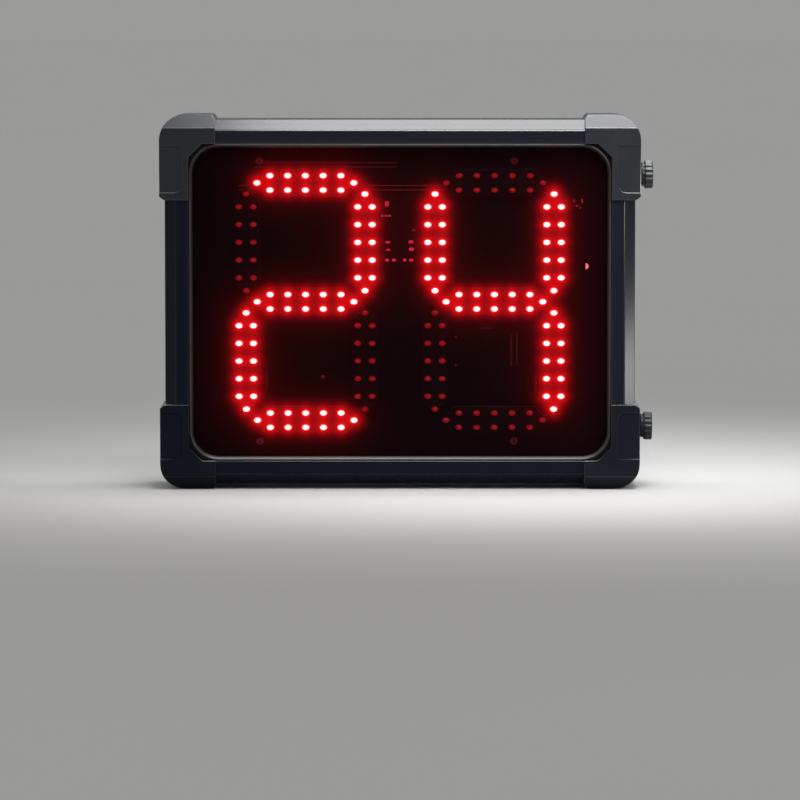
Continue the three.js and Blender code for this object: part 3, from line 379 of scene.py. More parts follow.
def new_group(name, **inputs):
    """A group with its inputs' defaults, those inputs inside it, and the object's coordinates."""
    tree = bpy.data.node_groups.new(name, "ShaderNodeTree")
    for key, default in inputs.items():
        kind = "NodeSocketVector" if isinstance(default, tuple) else "NodeSocketFloat"
        tree.interface.new_socket(spaced(key), in_out="INPUT", socket_type=kind).default_value = default
    place = add(tree, "ShaderNodeTexCoord").outputs["Object"]
    return tree, add(tree, "NodeGroupInput").outputs, place


def give_out(tree, **results):
    """The group with its outputs, each a number that changes over the surface."""
    for key in results:
        tree.interface.new_socket(key, in_out="OUTPUT", socket_type="NodeSocketFloat")
    add(tree, "NodeGroupOutput", results)
    return tree


# Height near the casing's top above which neither dust nor painted highlight goes, so that the top faces
# stay bare, and the height over which they fade in
DUST_AND_HIGHLIGHT_TOP = 0.275
DUST_AND_HIGHLIGHT_FADE = 5 * MM
EDGE_BREAKUP_SCALE = 260.0
# Bulge at which an edge begins to lighten and is fully lightened, as wear and painted highlight, and slope
# from which a ledge takes dust and painted highlight
EDGE_WEAR_AND_HIGHLIGHT_BULGE = (0.52, 0.62)
DUST_AND_HIGHLIGHT_SLOPE = (0.7, 0.95)


def grain_group(name):
    """Moulded or cast grain: fine noise for the height and broad noise for the blotches."""
    tree, given, place = new_group(name, Grain_size=0.5 * MM, Blotch_size=40 * MM)
    fine = worked_out(tree, "DIVIDE", 1.0, given["Grain size"])
    broad = worked_out(tree, "DIVIDE", 1.0, given["Blotch size"])
    return give_out(
        tree, Height=noise(tree, place, fine, 3.0, 0.6), Blotches=noise(tree, place, broad, 4.0, 0.55))


def drawn_group(name):
    """Lines along a drawn or extruded piece: noise that is stretched by the three scales."""
    tree, given, place = new_group(name, Lines_per_metre=(1000.0, 1000.0, 1000.0))
    links = {0: place, 1: given["Lines per metre"]}
    lines = add(tree, "ShaderNodeVectorMath", links, operation="MULTIPLY").outputs[0]
    return give_out(
        tree, Height=noise(tree, lines, 1.0, 3.0, 0.65), Streaks=noise(tree, lines, 0.12, 2.0, 0.5))


def wear_and_highlight_group(name):
    """Worn edges and dust, which both also paint highlights: edges by how far the surface bulges,
    and dust with painted highlight lines on the ledges that face up, below a height near the
    casing's top, above which the top faces are left bare."""
    tree, given, place = new_group(name, Edge_amount=0.3, Dust_amount=0.1)
    shape = add(tree, "ShaderNodeNewGeometry").outputs
    edges = ramp(tree, shape["Pointiness"], *EDGE_WEAR_AND_HIGHLIGHT_BULGE)
    broken_edges = worked_out(tree, "MULTIPLY", edges, noise(tree, place, EDGE_BREAKUP_SCALE, 4.0, 0.7))
    ledges = ramp(tree, height_of(tree, shape["Normal"]), *DUST_AND_HIGHLIGHT_SLOPE)
    below = ramp(tree, height_of(tree, place), DUST_AND_HIGHLIGHT_TOP, DUST_AND_HIGHLIGHT_TOP - DUST_AND_HIGHLIGHT_FADE)
    dust_and_highlight_mask = worked_out(tree, "MULTIPLY", ledges, below)
    return give_out(
        tree, Worn=worked_out(tree, "MULTIPLY", broken_edges, given["Edge amount"], clamp=True),
        Dusty=worked_out(tree, "MULTIPLY", dust_and_highlight_mask, given["Dust amount"], clamp=True))


GROUP_MAKERS = {"Moulded grain": grain_group, "Drawn lines": drawn_group, "Worn edges, dust and painted highlights": wear_and_highlight_group}


def use_group(tree, name, **values):
    """The outputs of a shared group, which is made once."""
    group = bpy.data.node_groups.get(name) or GROUP_MAKERS[name](name)
    links = {spaced(key): value for key, value in values.items()}
    return add(tree, "ShaderNodeGroup", links, node_tree=group).outputs


def grain(size_mm, blotch_mm):
    return "Moulded grain", {"Grain_size": size_mm * MM, "Blotch_size": blotch_mm * MM}


def drawn(x, y, z):
    return "Drawn lines", {"Lines_per_metre": (x, y, z)}


# Finishes

BLACK = (0.0, 0.0, 0.0, 1.0)
# Pale tones of worn edges and of dust, which also paint highlights on bulging edges and up-facing ledges
WORN_AND_HIGHLIGHT_TONE = (0.16, 0.16, 0.17, 1.0)
DUST_AND_HIGHLIGHT_TONE = (0.42, 0.42, 0.41, 1.0)
CLEAN = {"worn_and_highlight": 0.0, "dust_and_highlight": 0.0}
LIT_STRENGTH = 3.0
# Shares of its colour with which an unlit lens glows, as painted light, at its top and at its rim
UNLIT_GLOW = (0.6, 0.12)
FILTER_INDEX = 1.49
DRAWN_ACROSS = 2600.0
DRAWN_ALONG = 9.0
# Gloss of a rounded edge against the gloss of the faces, raised as a painted highlight so that the edges
# show bright lines
EDGE_HIGHLIGHT_GAIN = 3.2
# Dust on a corner's rounded edges, raised so that it also paints highlight lines where they face up
EDGE_DUST_AND_HIGHLIGHT = 0.85
# Wear of a knob's ridges against its gloss: the pale ridges are partly wear and partly a painted
# highlight, stronger on the more lit upper knob
KNOB_RIDGE_WEAR_AND_HIGHLIGHT = 0.6


def opaque(tone, strength=1.0):
    return (*(min(1.0, channel * strength) for channel in tone[:3]), 1.0)


def shader_inputs(material):
    return material.node_tree.nodes["Principled BSDF"].inputs


def surface(name, tone, roughness, texture, metallic=0.0, specular=0.5, bump=0.1, depth=0.05 * MM,
            worn_and_highlight=0.25, dust_and_highlight=0.06, variation=0.25, spread=0.12):
    """A finish with varied tone and gloss, worn edges and dust that also paint highlights, and a bump from
    its texture.
    The texture is a shared group's name with its values, and its second output varies the tone."""
    material = bpy.data.materials.new(name)
    material.use_nodes = True
    tree = material.node_tree
    kind, values = texture
    height, blotches = use_group(tree, kind, **values)
    wear_and_highlight = use_group(tree, "Worn edges, dust and painted highlights", Edge_amount=worn_and_highlight, Dust_amount=dust_and_highlight)
    base = blend_colours(tree, blotches, opaque(tone, 1 - variation), opaque(tone, 1 + variation))
    base = blend_colours(tree, wear_and_highlight["Worn"], base, WORN_AND_HIGHLIGHT_TONE)
    relief = add(tree, "ShaderNodeBump", {"Height": height, "Strength": bump, "Distance": depth})
    wire(tree, shader_inputs(material), {
        "Base Color": blend_colours(tree, wear_and_highlight["Dusty"], base, DUST_AND_HIGHLIGHT_TONE),
        "Roughness": ramp(tree, blotches, low=roughness - spread / 2, high=roughness + spread / 2),
        "Normal": relief.outputs[0],
        "Metallic": metallic,
        "Specular IOR Level": specular,
    })
    return material


def glowing(material, attribute, first, second, strength):
    """Adds light whose colour runs from the first to the second as a point attribute goes to 1, and on
    to the lamps' core colour as it goes to 2."""
    tree = material.node_tree
    amount = attribute_of(tree, attribute)
    tone = blend_colours(tree, amount, first, second)
    tone = blend_colours(tree, ramp(tree, amount, 1.0, 2.0), tone, opaque(colours().lamp_core))
    wire(tree, shader_inputs(material), {"Emission Color": tone, "Emission Strength": strength})
    return material


def behind_filter():
    """What a glow has to be multiplied by to look as bright through the filter."""
    return 1 / (1 - colours().tint_depth)


def lit_by_lamps(material, tone):
    """Adds the glow that the lamps throw on a piece behind the filter, painted as light that the
    piece gives off itself.
    """
    return glowing(material, "glow", BLACK, opaque(tone), behind_filter())


def edge_gloss(gloss):
    return min(1.0, EDGE_HIGHLIGHT_GAIN * gloss)


def rail_finish(name, along, gloss):
    """Black anodised aluminium with lines drawn along the rail."""
    scales = [DRAWN_ACROSS] * 3
    scales[along] = DRAWN_ALONG
    return surface(
        f"Anodised {name}", colours().rail, 0.27, drawn(*scales), specular=gloss, bump=0.06,
        depth=0.03 * MM, worn_and_highlight=0.02, dust_and_highlight=0.22, variation=0.18, spread=0.08)


def corner_finish(name, gloss, dust_and_highlight=0.40):
    """Black moulded nylon with a fine grain."""
    return surface(
        f"Moulded {name}", colours().corner, 0.34, grain(0.45, 30), specular=gloss, bump=0.12,
        worn_and_highlight=0.02, dust_and_highlight=dust_and_highlight)


def knob_finish(name, gloss):
    """Black moulded nylon whose ridges are lightened, partly as wear and partly as a painted highlight
    that follows the knob's gloss.
    """
    return surface(
        f"Moulded {name}", colours().knob, 0.36, grain(0.35, 9), specular=gloss, bump=0.12,
        worn_and_highlight=KNOB_RIDGE_WEAR_AND_HIGHLIGHT * gloss, dust_and_highlight=0.08)


def gasket_finish():
    """Rubber whose lip round the window takes its colour, with dust that also paints highlights where
    it faces up, and whose hidden faces are painted black as shade in the recess.
    """
    material = surface(
        "Rubber gasket", colours().gasket, 0.42, grain(0.8, 25), specular=0.22, bump=0.08, worn_and_highlight=0.0,
        dust_and_highlight=0.65)
    tree, base = material.node_tree, shader_inputs(material)["Base Color"]
    # The faces behind the lip get black in place of the rubber's colour, as painted shade in the recess
    tone = blend_colours(tree, attribute_of(tree, "lip"), BLACK, base.links[0].from_socket)
    tree.links.new(tone, base)
    return material


def filter_finish():
    """A polished tinted sheet, with faint smears that vary its gloss. Light crosses two faces, whose
    alphas together keep back the filter's whole share."""
    material = surface(
        "Tinted filter", colours().tint, 0.09, grain(1.2, 90), specular=0.03, bump=0.01, variation=0.3,
        spread=0.07, **CLEAN)
    alpha = 1 - math.sqrt(1 - colours().tint_depth)
    wire(material.node_tree, shader_inputs(material), {"Alpha": alpha, "IOR": FILTER_INDEX})
    return material


FINISH_MAKERS = {
    "gasket": gasket_finish,
    "filter": filter_finish,
    "steel": lambda: surface(
        "Zinc-plated steel", (0.52, 0.52, 0.53), 0.30, grain(0.25, 3), metallic=1.0, bump=0.06,
        worn_and_highlight=0.1, dust_and_highlight=0.05),
    "brass": lambda: surface(
        "Turned brass", (0.56, 0.42, 0.18), 0.30, grain(0.3, 4), metallic=1.0, bump=0.05, worn_and_highlight=0.1,
        dust_and_highlight=0.05),
    "panel": lambda: surface(
        "Coated back panel", (0.018, 0.019, 0.022), 0.52, grain(0.35, 60), specular=0.45, bump=0.25,
        worn_and_highlight=0.2, dust_and_highlight=0.04),
    "black_plastic": lambda: surface(
        "Black plastic", (0.014, 0.014, 0.016), 0.34, grain(0.5, 12), bump=0.08, worn_and_highlight=0.2),
    "cage": lambda: surface(
        "Galvanised cage", (0.50, 0.51, 0.52), 0.38, grain(6, 30), metallic=1.0, bump=0.05,
        variation=0.15),
    "circuit": lambda: surface(
        "Green solder mask", (0.008, 0.07, 0.03), 0.40, grain(0.7, 14), worn_and_highlight=0.05),
    "cable": lambda: surface(
        "Lead sheath", (0.012, 0.012, 0.013), 0.55, grain(0.6, 20), bump=0.12, worn_and_highlight=0.0),
    "ribbon": lambda: surface(
        "Flat cable", (0.28, 0.29, 0.30), 0.50, drawn(900.0, 60.0, 60.0), bump=0.3, worn_and_highlight=0.0),
    "board": lambda: surface(
        "Black solder mask", colours().mask, 0.45, grain(0.6, 45), specular=0.3, bump=0.08, **CLEAN),
    "sign": lambda: surface(
        "White print", (0.70, 0.70, 0.68), 0.45, grain(0.3, 4), bump=0.05, variation=0.05, **CLEAN),
    "lit_board": lambda: lit_by_lamps(surface(
        "Lit solder mask", colours().mask, 0.45, grain(0.6, 45), specular=0.25, bump=0.05,
        **CLEAN), colours().lamp_red),
    "holder": lambda: lit_by_lamps(surface(
        "Lamp holder", (0.008, 0.003, 0.003), 0.42, grain(0.5, 20), specular=0.3, **CLEAN),
        colours().lamp_red),
    # Tinned parts whose red glints are painted light, a glow of their own
    "trace": lambda: lit_by_lamps(surface(
        "Lit tinned part", (0.30, 0.05, 0.05), 0.35, grain(0.3, 3), bump=0.05, **CLEAN),
        colours().small_part_glints),
    "lit_lens": lambda: glowing(surface(
        "Lit lens", (0.80, 0.20, 0.16), 0.20, grain(0.4, 3), bump=0.03, variation=0.05, **CLEAN),
        "rim", opaque(colours().lamp_core), opaque(colours().lamp_red), LIT_STRENGTH * behind_filter()),
    "dark_lens": lambda: glowing(surface(
        "Unlit lens", colours().lens, 0.22, grain(0.4, 3), bump=0.03, **CLEAN),
        "rim", *(opaque(colours().lens, share) for share in UNLIT_GLOW), behind_filter()),
}
_finishes = {}


def finish(name):
    """The named finish, made once."""
    if name not in _finishes:
        _finishes[name] = FINISH_MAKERS[name]()
    return _finishes[name]


# Lamps and their glow

# How bright and how wide a lit lamp's bell curves are, from a white-hot near one to a faint veil
GLOW_TERMS = ((1.0, 0.36), (0.62, 0.95), (0.010, 2.6), (0.0012, 5.5))
HOLDER_ROWS = 121
HOLDER_COLUMNS = 33
HOLDER_EDGE_STEPS = 4
HOLDER_TIP = 0.7 * MM
LENS_SIDES = 14
LENS_RINGS = 5
LENS_FULLNESS = 0.8
LENS_SHARP_ANGLE = math.radians(70)


def digit_segments():
    """(node, middle, half sizes, lit) of each of the fourteen segments."""
    for side, digit in zip(SIDES, (colours().left_digit, colours().right_digit), strict=True):
        for letter in SEGMENT_LETTERS:
            node = f"{side}_digit_segment_{letter}"
            yield node, *node_middle(node), letter in LIT_SEGMENTS[digit]


def as_x_and_z(half, along, across):
    """What lies along and across a segment, in the order x, z. An upright segment swaps the two."""
    return (along, across) if half[0] > half[2] else (across, along)


def lamp_places(middle, half):
    """[x, z] of a segment's lamps: two rows of columns and a lamp in each pointed end."""
    size = sizes()
    columns = (np.arange(size.lamp_columns) - (size.lamp_columns - 1) / 2) * size.lamp_pitch
    rows = np.array([-1, 1]) * size.lamp_rows / 2
    along, across = (grid.ravel() for grid in np.meshgrid(columns, rows))
    along = np.append(along, [-size.lamp_end_reach, size.lamp_end_reach])
    across = np.append(across, [0, 0])
    return middle[[0, 2]] + np.stack(as_x_and_z(half, along, across), -1)


def lit_lamps():
    return np.concatenate([lamp_places(middle, half) for _, middle, half, lit in digit_segments() if lit])


def glow_at(points, lamps):
    """Light at each point: a sum over the lit lamps of bell curves of the distance, whose widths are
    shares of the glow's reach."""
    away = np.sum((points[:, None, [0, 2]] - lamps[None]) ** 2, -1)
    reach = sizes().glow_reach
    return sum(strength * np.exp(-away / (reach * width) ** 2).sum(1) for strength, width in GLOW_TERMS)


def holder_part(middle, half, front, back):
    """A lamp holder: a hexagon whose half width is w(t) = min(side, tip - |t|) along it, with its
    front edge rounded. Each row goes over the front from side to side and round the back."""
    tip, side = as_x_and_z(half, half[0], half[2])
    radius = sizes().holder_fillet
    along = np.linspace(-tip, tip, HOLDER_ROWS)
    width = np.clip(tip - np.abs(along), HOLDER_TIP, side)[:, None]
    turn = np.linspace(0, math.pi / 2, HOLDER_EDGE_STEPS)
    edge = np.concatenate([[0.0], radius * (1 - np.sin(turn))[::-1]])
    depth = np.concatenate([[back], (front + radius * (1 - np.cos(turn)))[::-1]])
    spread = np.linspace(-1, 1, HOLDER_COLUMNS)[1:-1]
    across = np.concatenate([edge - width, (width - radius) * spread, width - edge[::-1]], 1)
    y = np.concatenate([depth, np.full(len(spread), front), depth[::-1]])
    x, z = as_x_and_z(half, along[:, None], across)
    points = grid_points(middle[0] + x, y, middle[2] + z)
    return points, sheet_quads(*across.shape, round_columns=True)


def lens_part(places, front, tip, sink):
    """Oval domes: ring k lies at sin(k) of the standout and near cos(k) of the lens's half sizes,
    under a short straight foot that stands in the holder. The third result is 0 at a dome's top
    and 1 at its rim."""
    turn = full_turn(LENS_SIDES)
    rise = np.linspace(0, math.pi / 2, LENS_RINGS)
    scale = np.concatenate([[0.0, 1.0], np.cos(rise) ** LENS_FULLNESS])[:, None]
    out = np.concatenate([[-sink, -sink], np.sin(rise) * (front - tip)])[:, None]
    dome = grid_points(
        np.cos(turn) * scale * sizes().lens_width / 2, front - out,
        np.sin(turn) * scale * sizes().lens_height / 2)
    spots = grid_points(places[:, 0], 0, places[:, 1])
    points = dome[None] + spots[:, None, None]
    quads = sheet_quads(len(scale), LENS_SIDES, round_columns=True)
    starts = np.arange(len(places)) * dome.size // 3
    faces = (quads[None] + starts[:, None, None]).reshape(-1, 4)
    return points, faces, np.broadcast_to(np.clip(scale, 0, 1) ** 2, points.shape[:-1])


class MakeLamps(bpy.types.Operator):
    """Makes the fourteen lamp holders with their oval lenses, and the glow round the lit ones"""

    bl_idname = "clock.make_lamps"
    bl_label = "Lamps"

    def execute(self, context):
        lamps = lit_lamps()
        for node, middle, half, lit in digit_segments():
            back = middle[1] + half[1]
            front = back - sizes().holder_thickness
            points, quads = holder_part(middle, half, front, back)
            glow = np.clip(glow_at(points.reshape(-1, 3), lamps), 0, 2)
            mesh = built_mesh(f"{node}_holder", [(points, quads)], {"glow": [glow]})
            piece(mesh, "holder", stands_for=(node,))
            places = lamp_places(middle, half)
            domes, faces, rim = lens_part(places, front, middle[1] - half[1], sizes().holder_fillet)
            mesh = built_mesh(f"{node}_lenses", [(domes, faces)], {"rim": [rim]}, LENS_SHARP_ANGLE)
            piece(mesh, "lit_lens" if lit else "dark_lens")
        return {"FINISHED"}


# The display board

BOARD_PITCH = 1.8 * MM
BOARD_GAP = 0.3 * MM
MASK_THICKNESS = 0.15 * MM
MASK_GAP = 0.02 * MM
BOARD_MARGIN = 1.2 * MM

# Small parts on the board, which show as painted red glints: [from the middle, above the middle, width,
# height, brightness share]
BOARD_PARTS_MM = (
    (-10.3, 76.4, 3.2, 4.0, 0.42),
    (-13.9, 67.1, 2.0, 1.4, 0.45),
    (-10.9, 67.1, 2.0, 1.4, 0.45),
    (-8.2, 67.1, 2.0, 1.4, 0.45),
    (10.7, 55.8, 2.2, 1.4, 0.16),
    (-9.5, 46.4, 3.4, 1.8, 0.50),
    (-9.4, 40.5, 3.0, 1.6, 0.45),
    (8.6, 46.6, 3.6, 2.2, 0.50),
    (8.9, 40.9, 3.6, 2.4, 0.50),
    (-10.0, 32.4, 2.8, 2.0, 0.55),
    (-4.7, 32.4, 2.8, 2.0, 0.55),
    (3.6, 32.4, 2.6, 2.0, 0.50),
    (8.8, 32.4, 3.2, 2.0, 0.50),
    (43.7, -28.0, 1.2, 1.2, 0.20),
    (43.7, -49.9, 1.2, 1.2, 0.20),
    (-60.6, -59.2, 2.6, 2.6, 0.06),
    (136.2, 78.7, 1.1, 2.8, 0.16),
    (142.5, 78.7, 1.2, 3.0, 0.18),
    (138.3, 74.8, 2.2, 1.4, 0.16),
    (140.9, 73.2, 1.6, 1.2, 0.18),
)
# Rows of pads, which show as painted red glints: [from the middle, above the middle, step across, step up,
# count, brightness share]
PAD_ROWS_MM = (
    (87.1, -26.0, 0.0, -2.2, 12, 0.035),
    (91.7, -26.0, 0.0, -2.2, 12, 0.035),
    (106.4, -60.0, 0.0, -2.0, 6, 0.035),
    (-104.4, -54.5, 0.0, -2.0, 8, 0.035),
    (64.0, -21.0, 1.8, 0.0, 5, 0.03),
)
PAD_SIZE_MM = 1.1
# Lit tracks, painted as red glints: [from the middle, above the middle, length, brightness share]
TRACKS_MM = (
    (-58.0, 108.6, 112.0, 0.060),
    (-58.0, 105.2, 112.0, 0.055),
    (-8.0, 90.9, 236.0, 0.085),
    (-8.0, 87.3, 236.0, 0.085),
)
TRACK_WIDTH_MM = 0.5
# Screw heads, which show as painted red glints: [from the middle, above the middle, brightness share]
BOARD_SCREWS_MM = (
    (-110.0, 110.0, 0.060),
    (89.5, 110.0, 0.030),
    (-110.0, -110.0, 0.050),
    (89.5, -110.0, 0.025),
)
BOARD_SCREW_RADIUS = 3.05 * MM
BOARD_SCREW_HEIGHT = 2.15 * MM
# Indicator, half of whose round lens shows lit: from the middle, above the middle, radius
INDICATOR_MM = (145.4, 27.6, 2.3)
INDICATOR_STEPS = 13
INDICATOR_GLOW = 1.2
PART_STANDOUT = 0.6 * MM
TRACK_STANDOUT = 0.08 * MM
PART_SINK = 0.05 * MM
PART_SOFTNESS = 0.16


def pillow_part(outline, front, back):
    """A block with a bevelled front: two full copies of its [x, z] outline, then a smaller one, all
    closed by poles at the outline's middle."""
    middle = outline.mean(0)
    scale = np.array([0.0, 1.0, 1.0, 1 - PART_SOFTNESS, 0.0])
    spread = middle + scale[:, None, None] * (outline - middle)
    y = np.array([back, back, front + (back - front) * PART_SOFTNESS, front, front])
    points = grid_points(spread[..., 0], y[:, None], spread[..., 1])
    return points, sheet_quads(*spread.shape[:2], round_columns=True)


def rectangle(x, z, wide, high):
    """[x, z] of a rectangle's corners round its middle."""
    return np.array([x, z]) + np.array([[-1, -1], [1, -1], [1, 1], [-1, 1]]) * [wide / 2, high / 2]


def right_half_disc(x, z, radius):
    """[x, z] of a half circle from its lowest to its highest point, which a straight line closes."""
    turn = np.linspace(-math.pi / 2, math.pi / 2, INDICATOR_STEPS)
    return np.array([x, z]) + radius * np.stack([np.cos(turn), np.sin(turn)], -1)


def board_face(low, high, front, back, lamps):
    """The lit mask: a fine sheet whose rim is carried back and closed, with the glow at each point."""
    columns, _, rows = ((high - low) / BOARD_PITCH).astype(int)
    x = np.linspace(low[0], high[0], columns)
    z = np.linspace(low[2], high[2], rows)
    sheet = grid_points(x, front, z[:, None])
    rim = np.concatenate([sheet[0], sheet[1:, -1], sheet[-1, -2::-1], sheet[-2:0:-1, 0]])
    skirt = np.stack([rim, rim * [1, 0, 1] + [0, back, 0]])
    points = sheet.reshape(-1, 3)
    return built_mesh(
        "display_board_face",
        [(points, sheet_quads(rows, columns)), (skirt, sheet_quads(2, len(rim), round_columns=True))],
        {"glow": [np.clip(glow_at(points, lamps), 0, 1), np.zeros(2 * len(rim))]})


def board_parts(middle, front):
    """(part, brightness) of each small part, pad, track, screw and the indicator on the board."""

    def block(x, z, wide, high, standout):
        outline = rectangle(middle[0] + x * MM, middle[2] + z * MM, wide * MM, high * MM)
        return pillow_part(outline, front - standout, front + PART_SINK)

    for x, z, wide, high, brightness in BOARD_PARTS_MM:
        yield block(x, z, wide, high, PART_STANDOUT), brightness
    for x, z, step_x, step_z, pads, brightness in PAD_ROWS_MM:
        for i in range(pads):
            pad = block(x + i * step_x, z + i * step_z, PAD_SIZE_MM, PAD_SIZE_MM, TRACK_STANDOUT)
            yield pad, brightness
    for x, z, wide, brightness in TRACKS_MM:
        yield block(x, z, wide, TRACK_WIDTH_MM, TRACK_STANDOUT), brightness
    for x, z, brightness in BOARD_SCREWS_MM:
        place = middle[0] + x * MM, front, middle[2] + z * MM
        yield screw_part(*place, BOARD_SCREW_RADIUS, -BOARD_SCREW_HEIGHT), brightness
    x, z, radius = np.array(INDICATOR_MM) * MM
    half_lens = right_half_disc(middle[0] + x, middle[2] + z, radius)
    yield pillow_part(half_lens, front - PART_STANDOUT, front + PART_SINK), INDICATOR_GLOW


class MakeBoard(bpy.types.Operator):
    """Makes the display board's lit face with its tracks and small parts"""

    bl_idname = "clock.make_board"
    bl_label = "Display board"

    def execute(self, context):
        low, high = node_box("display_board")
        board_front = node_box("left_digit_segment_a")[1][1] + BOARD_GAP
        front = board_front - MASK_THICKNESS
        margin = np.array([BOARD_MARGIN, 0, BOARD_MARGIN])
        face = board_face(low + margin, high - margin, front, board_front - MASK_GAP, lit_lamps())
        piece(face, "lit_board")
        parts, brightness = zip(*board_parts(casing_middle(), front), strict=True)
        glow = [np.full(part[0].size // 3, share) for part, share in zip(parts, brightness, strict=True)]
        piece(built_mesh("display_board_parts", parts, {"glow": glow}), "trace")
        return {"FINISHED"}


# Casing

RAIL_EDGE = 50 * MM
CORNER_EDGE = 1.8 * MM
CORNER_MERGE = 0.6 * MM
SCREW_FROM_SIDE = 8.5 * MM
SCREWS_FROM_END = (33 * MM, 52 * MM)
PAD_DEPTH = 1 * MM
SCREW_HEAD = 0.9 * MM
SCREW_SIDES = 48
# A screw head's profile: [share of its radius, share of its height], and how far its cross reaches
SCREW_PROFILE = (
    (0.0, -0.4), (1.0, -0.4), (1.0, 0.35), (0.96, 0.75), (0.85, 0.95), (0.62, 1.0), (0.56, 1.0),
    (0.5, 0.45), (0.3, 0.3), (0.0, 0.25),
)
CROSS_REACH = 0.6
CROSS_PULL = 0.72
# Height of the wave |cos 2t| at which the cross begins, and how far on it is full
CROSS_START = 0.72
CROSS_BLEND = 0.2


def screw_part(x, seat, z, radius, height):
    """A low pan head with a cross recess: the head's height falls off as a circle's edge does, and
    near the middle a cross-shaped wave of the angle, |cos 2t|, sinks the recess. A negative height
    turns the head to the front."""
    turn = full_turn(SCREW_SIDES)
    out, rise = np.array(SCREW_PROFILE).T
    cross = np.clip((np.abs(np.cos(2 * turn)) - CROSS_START) / CROSS_BLEND, 0, 1)
    pull = np.where(out < CROSS_REACH, out, 0)[:, None] * (1 - cross) * CROSS_PULL
    reach = radius * (out[:, None] - pull)
    points = grid_points(x + reach * np.cos(turn), seat + rise[:, None] * height, z + reach * np.sin(turn))
    return points, sheet_quads(*reach.shape, round_columns=True)


class MakeCasing(bpy.types.Operator):
    """Rounds the edges of the rails and corners, and makes the corner screws"""

    bl_idname = "clock.make_casing"
    bl_label = "Casing"

    def execute(self, context):
        for node, gloss in RAIL_PAINTED_LIGHT_GLOSS.items():
            half = node_middle(node)[1]
            along = 2 if half[2] > half[0] else 0
            look = [
                rail_finish(node, along, gloss), rail_finish(f"{node} edges", along, edge_gloss(gloss))]
            softened(node, "extrusion", look, sizes().rail_softness, shortest=RAIL_EDGE)
        for node, gloss in CORNER_PAINTED_LIGHT_GLOSS.items():
            look = [
                corner_finish(node, gloss), corner_finish(f"{node} edges", edge_gloss(gloss), EDGE_DUST_AND_HIGHLIGHT)]
            softened(node, "moulding", look, sizes().corner_softness, shortest=CORNER_EDGE,
                     merge=CORNER_MERGE, segments=3)
            self.make_screws(node)
        return {"FINISHED"}

    def make_screws(self, node):
        """Two low pan heads in the sunk pad on each corner's back."""
        low, high = node_box(node)
        middle = casing_middle()
        x = low[0] + SCREW_FROM_SIDE if high[0] < middle[0] else high[0] - SCREW_FROM_SIDE
        heights = [high[2] - rise if low[2] > middle[2] else low[2] + rise for rise in SCREWS_FROM_END]
        radius = sizes().screw_diameter / 2
        parts = [screw_part(x, high[1] - PAD_DEPTH, z, radius, SCREW_HEAD) for z in heights]
        piece(built_mesh(f"{node}_screws", parts), "steel")


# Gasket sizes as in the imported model: [offset from the window's edge, depth behind the gasket's front]
GASKET_REACH = 7.4 * MM
GASKET_SECTION_MM = (
    (7.4, 2.1), (3.1, 2.1), (3.1, 0.4), (2.2, 0.0), (0.0, 3.5), (0.0, 4.3), (2.5, 4.3), (2.5, 7.9),
    (0.0, 7.9), (0.0, 9.5), (7.4, 9.5),
)
GASKET_ARC_STEPS = 16
# Depth behind the gasket's front beyond which it is painted black as shade
GASKET_LIP_DEPTH = 1.9 * MM


def gasket_part():
    """The gasket, and whether each of its points lies on the lip, which keeps the rubber's colour
    while the rest is painted black as shade. Every point of the rounded section goes round four
    quarter circles about the centres of the window's corners, at the window's radius and the
    point's offset: (cx + r cos t, depth, cz + r sin t)."""
    middle, half = node_middle("filter_gasket")
    section = filleted(np.array(GASKET_SECTION_MM) * MM, sizes().gasket_fillet)
    radius = sizes().window_radius
    quarter = np.linspace(0, math.pi / 2, GASKET_ARC_STEPS)
    turn = np.concatenate([quarter + corner * math.pi / 2 for corner in range(4)])[:, None]
    corners = np.repeat([[1, 1], [-1, 1], [-1, -1], [1, -1]], GASKET_ARC_STEPS, 0)
    centres = middle[[0, 2]] + corners * (half[[0, 2]] - GASKET_REACH - radius)
    reach = radius + section[:, 0]
    points = grid_points(
        centres[:, :1] + np.cos(turn) * reach, middle[1] - half[1] + section[:, 1],
        centres[:, 1:] + np.sin(turn) * reach)
    lip = np.broadcast_to(section[:, 1] < GASKET_LIP_DEPTH, points.shape[:2])
    return points, sheet_quads(*lip.shape, round_rows=True, round_columns=True), lip


class MakeGasket(bpy.types.Operator):
    """Makes the rubber gasket as one rounded section carried round the window"""

    bl_idname = "clock.make_gasket"
    bl_label = "Gasket"

    def execute(self, context):
        points, quads, lip = gasket_part()
        mesh = built_mesh("filter_gasket_section", [(points, quads)], {"lip": [lip]})
        piece(mesh, "gasket", stands_for=("filter_gasket",))
        return {"FINISHED"}


class MakeFilter(bpy.types.Operator):
    """Rounds the filter's edges and gives it its tint"""

    bl_idname = "clock.make_filter"
    bl_label = "Filter"

    def execute(self, context):
        softened("front_filter", "pane", "filter", sizes().trim_softness)
        return {"FINISHED"}


# Thumb knobs: [from the inner face, radius, share of the flutes' depth]
KNOB_PROFILE_MM = (
    (5.5, 0.0, 0), (5.5, 3.3, 0), (0.3, 3.3, 0), (0.0, 3.6, 0), (0.0, 8.9, 0), (0.12, 9.18, 0),
    (0.4, 9.3, 0), (2.2, 9.3, 0), (2.3, 9.4, 0.2), (2.3, 9.9, 1), (2.38, 10.35, 1), (2.65, 10.74, 1),
    (3.0, 10.93, 1), (3.4, 11.0, 1), (5.7, 11.0, 1), (7.9, 11.0, 1), (8.3, 10.93, 1), (8.65, 10.74, 1),
    (8.92, 10.35, 1), (9.0, 9.9, 1), (9.0, 7.2, 0), (8.9, 6.9, 0), (8.3, 6.0, 0), (8.2, 5.6, 0),
    (8.2, 0.0, 0),
)
KNOB_SIDES_PER_FLUTE = 12
KNOB_SHARP_ANGLE = math.radians(50)
FLUTE_SHARPNESS = 1.4
STUD_SIDES = 40
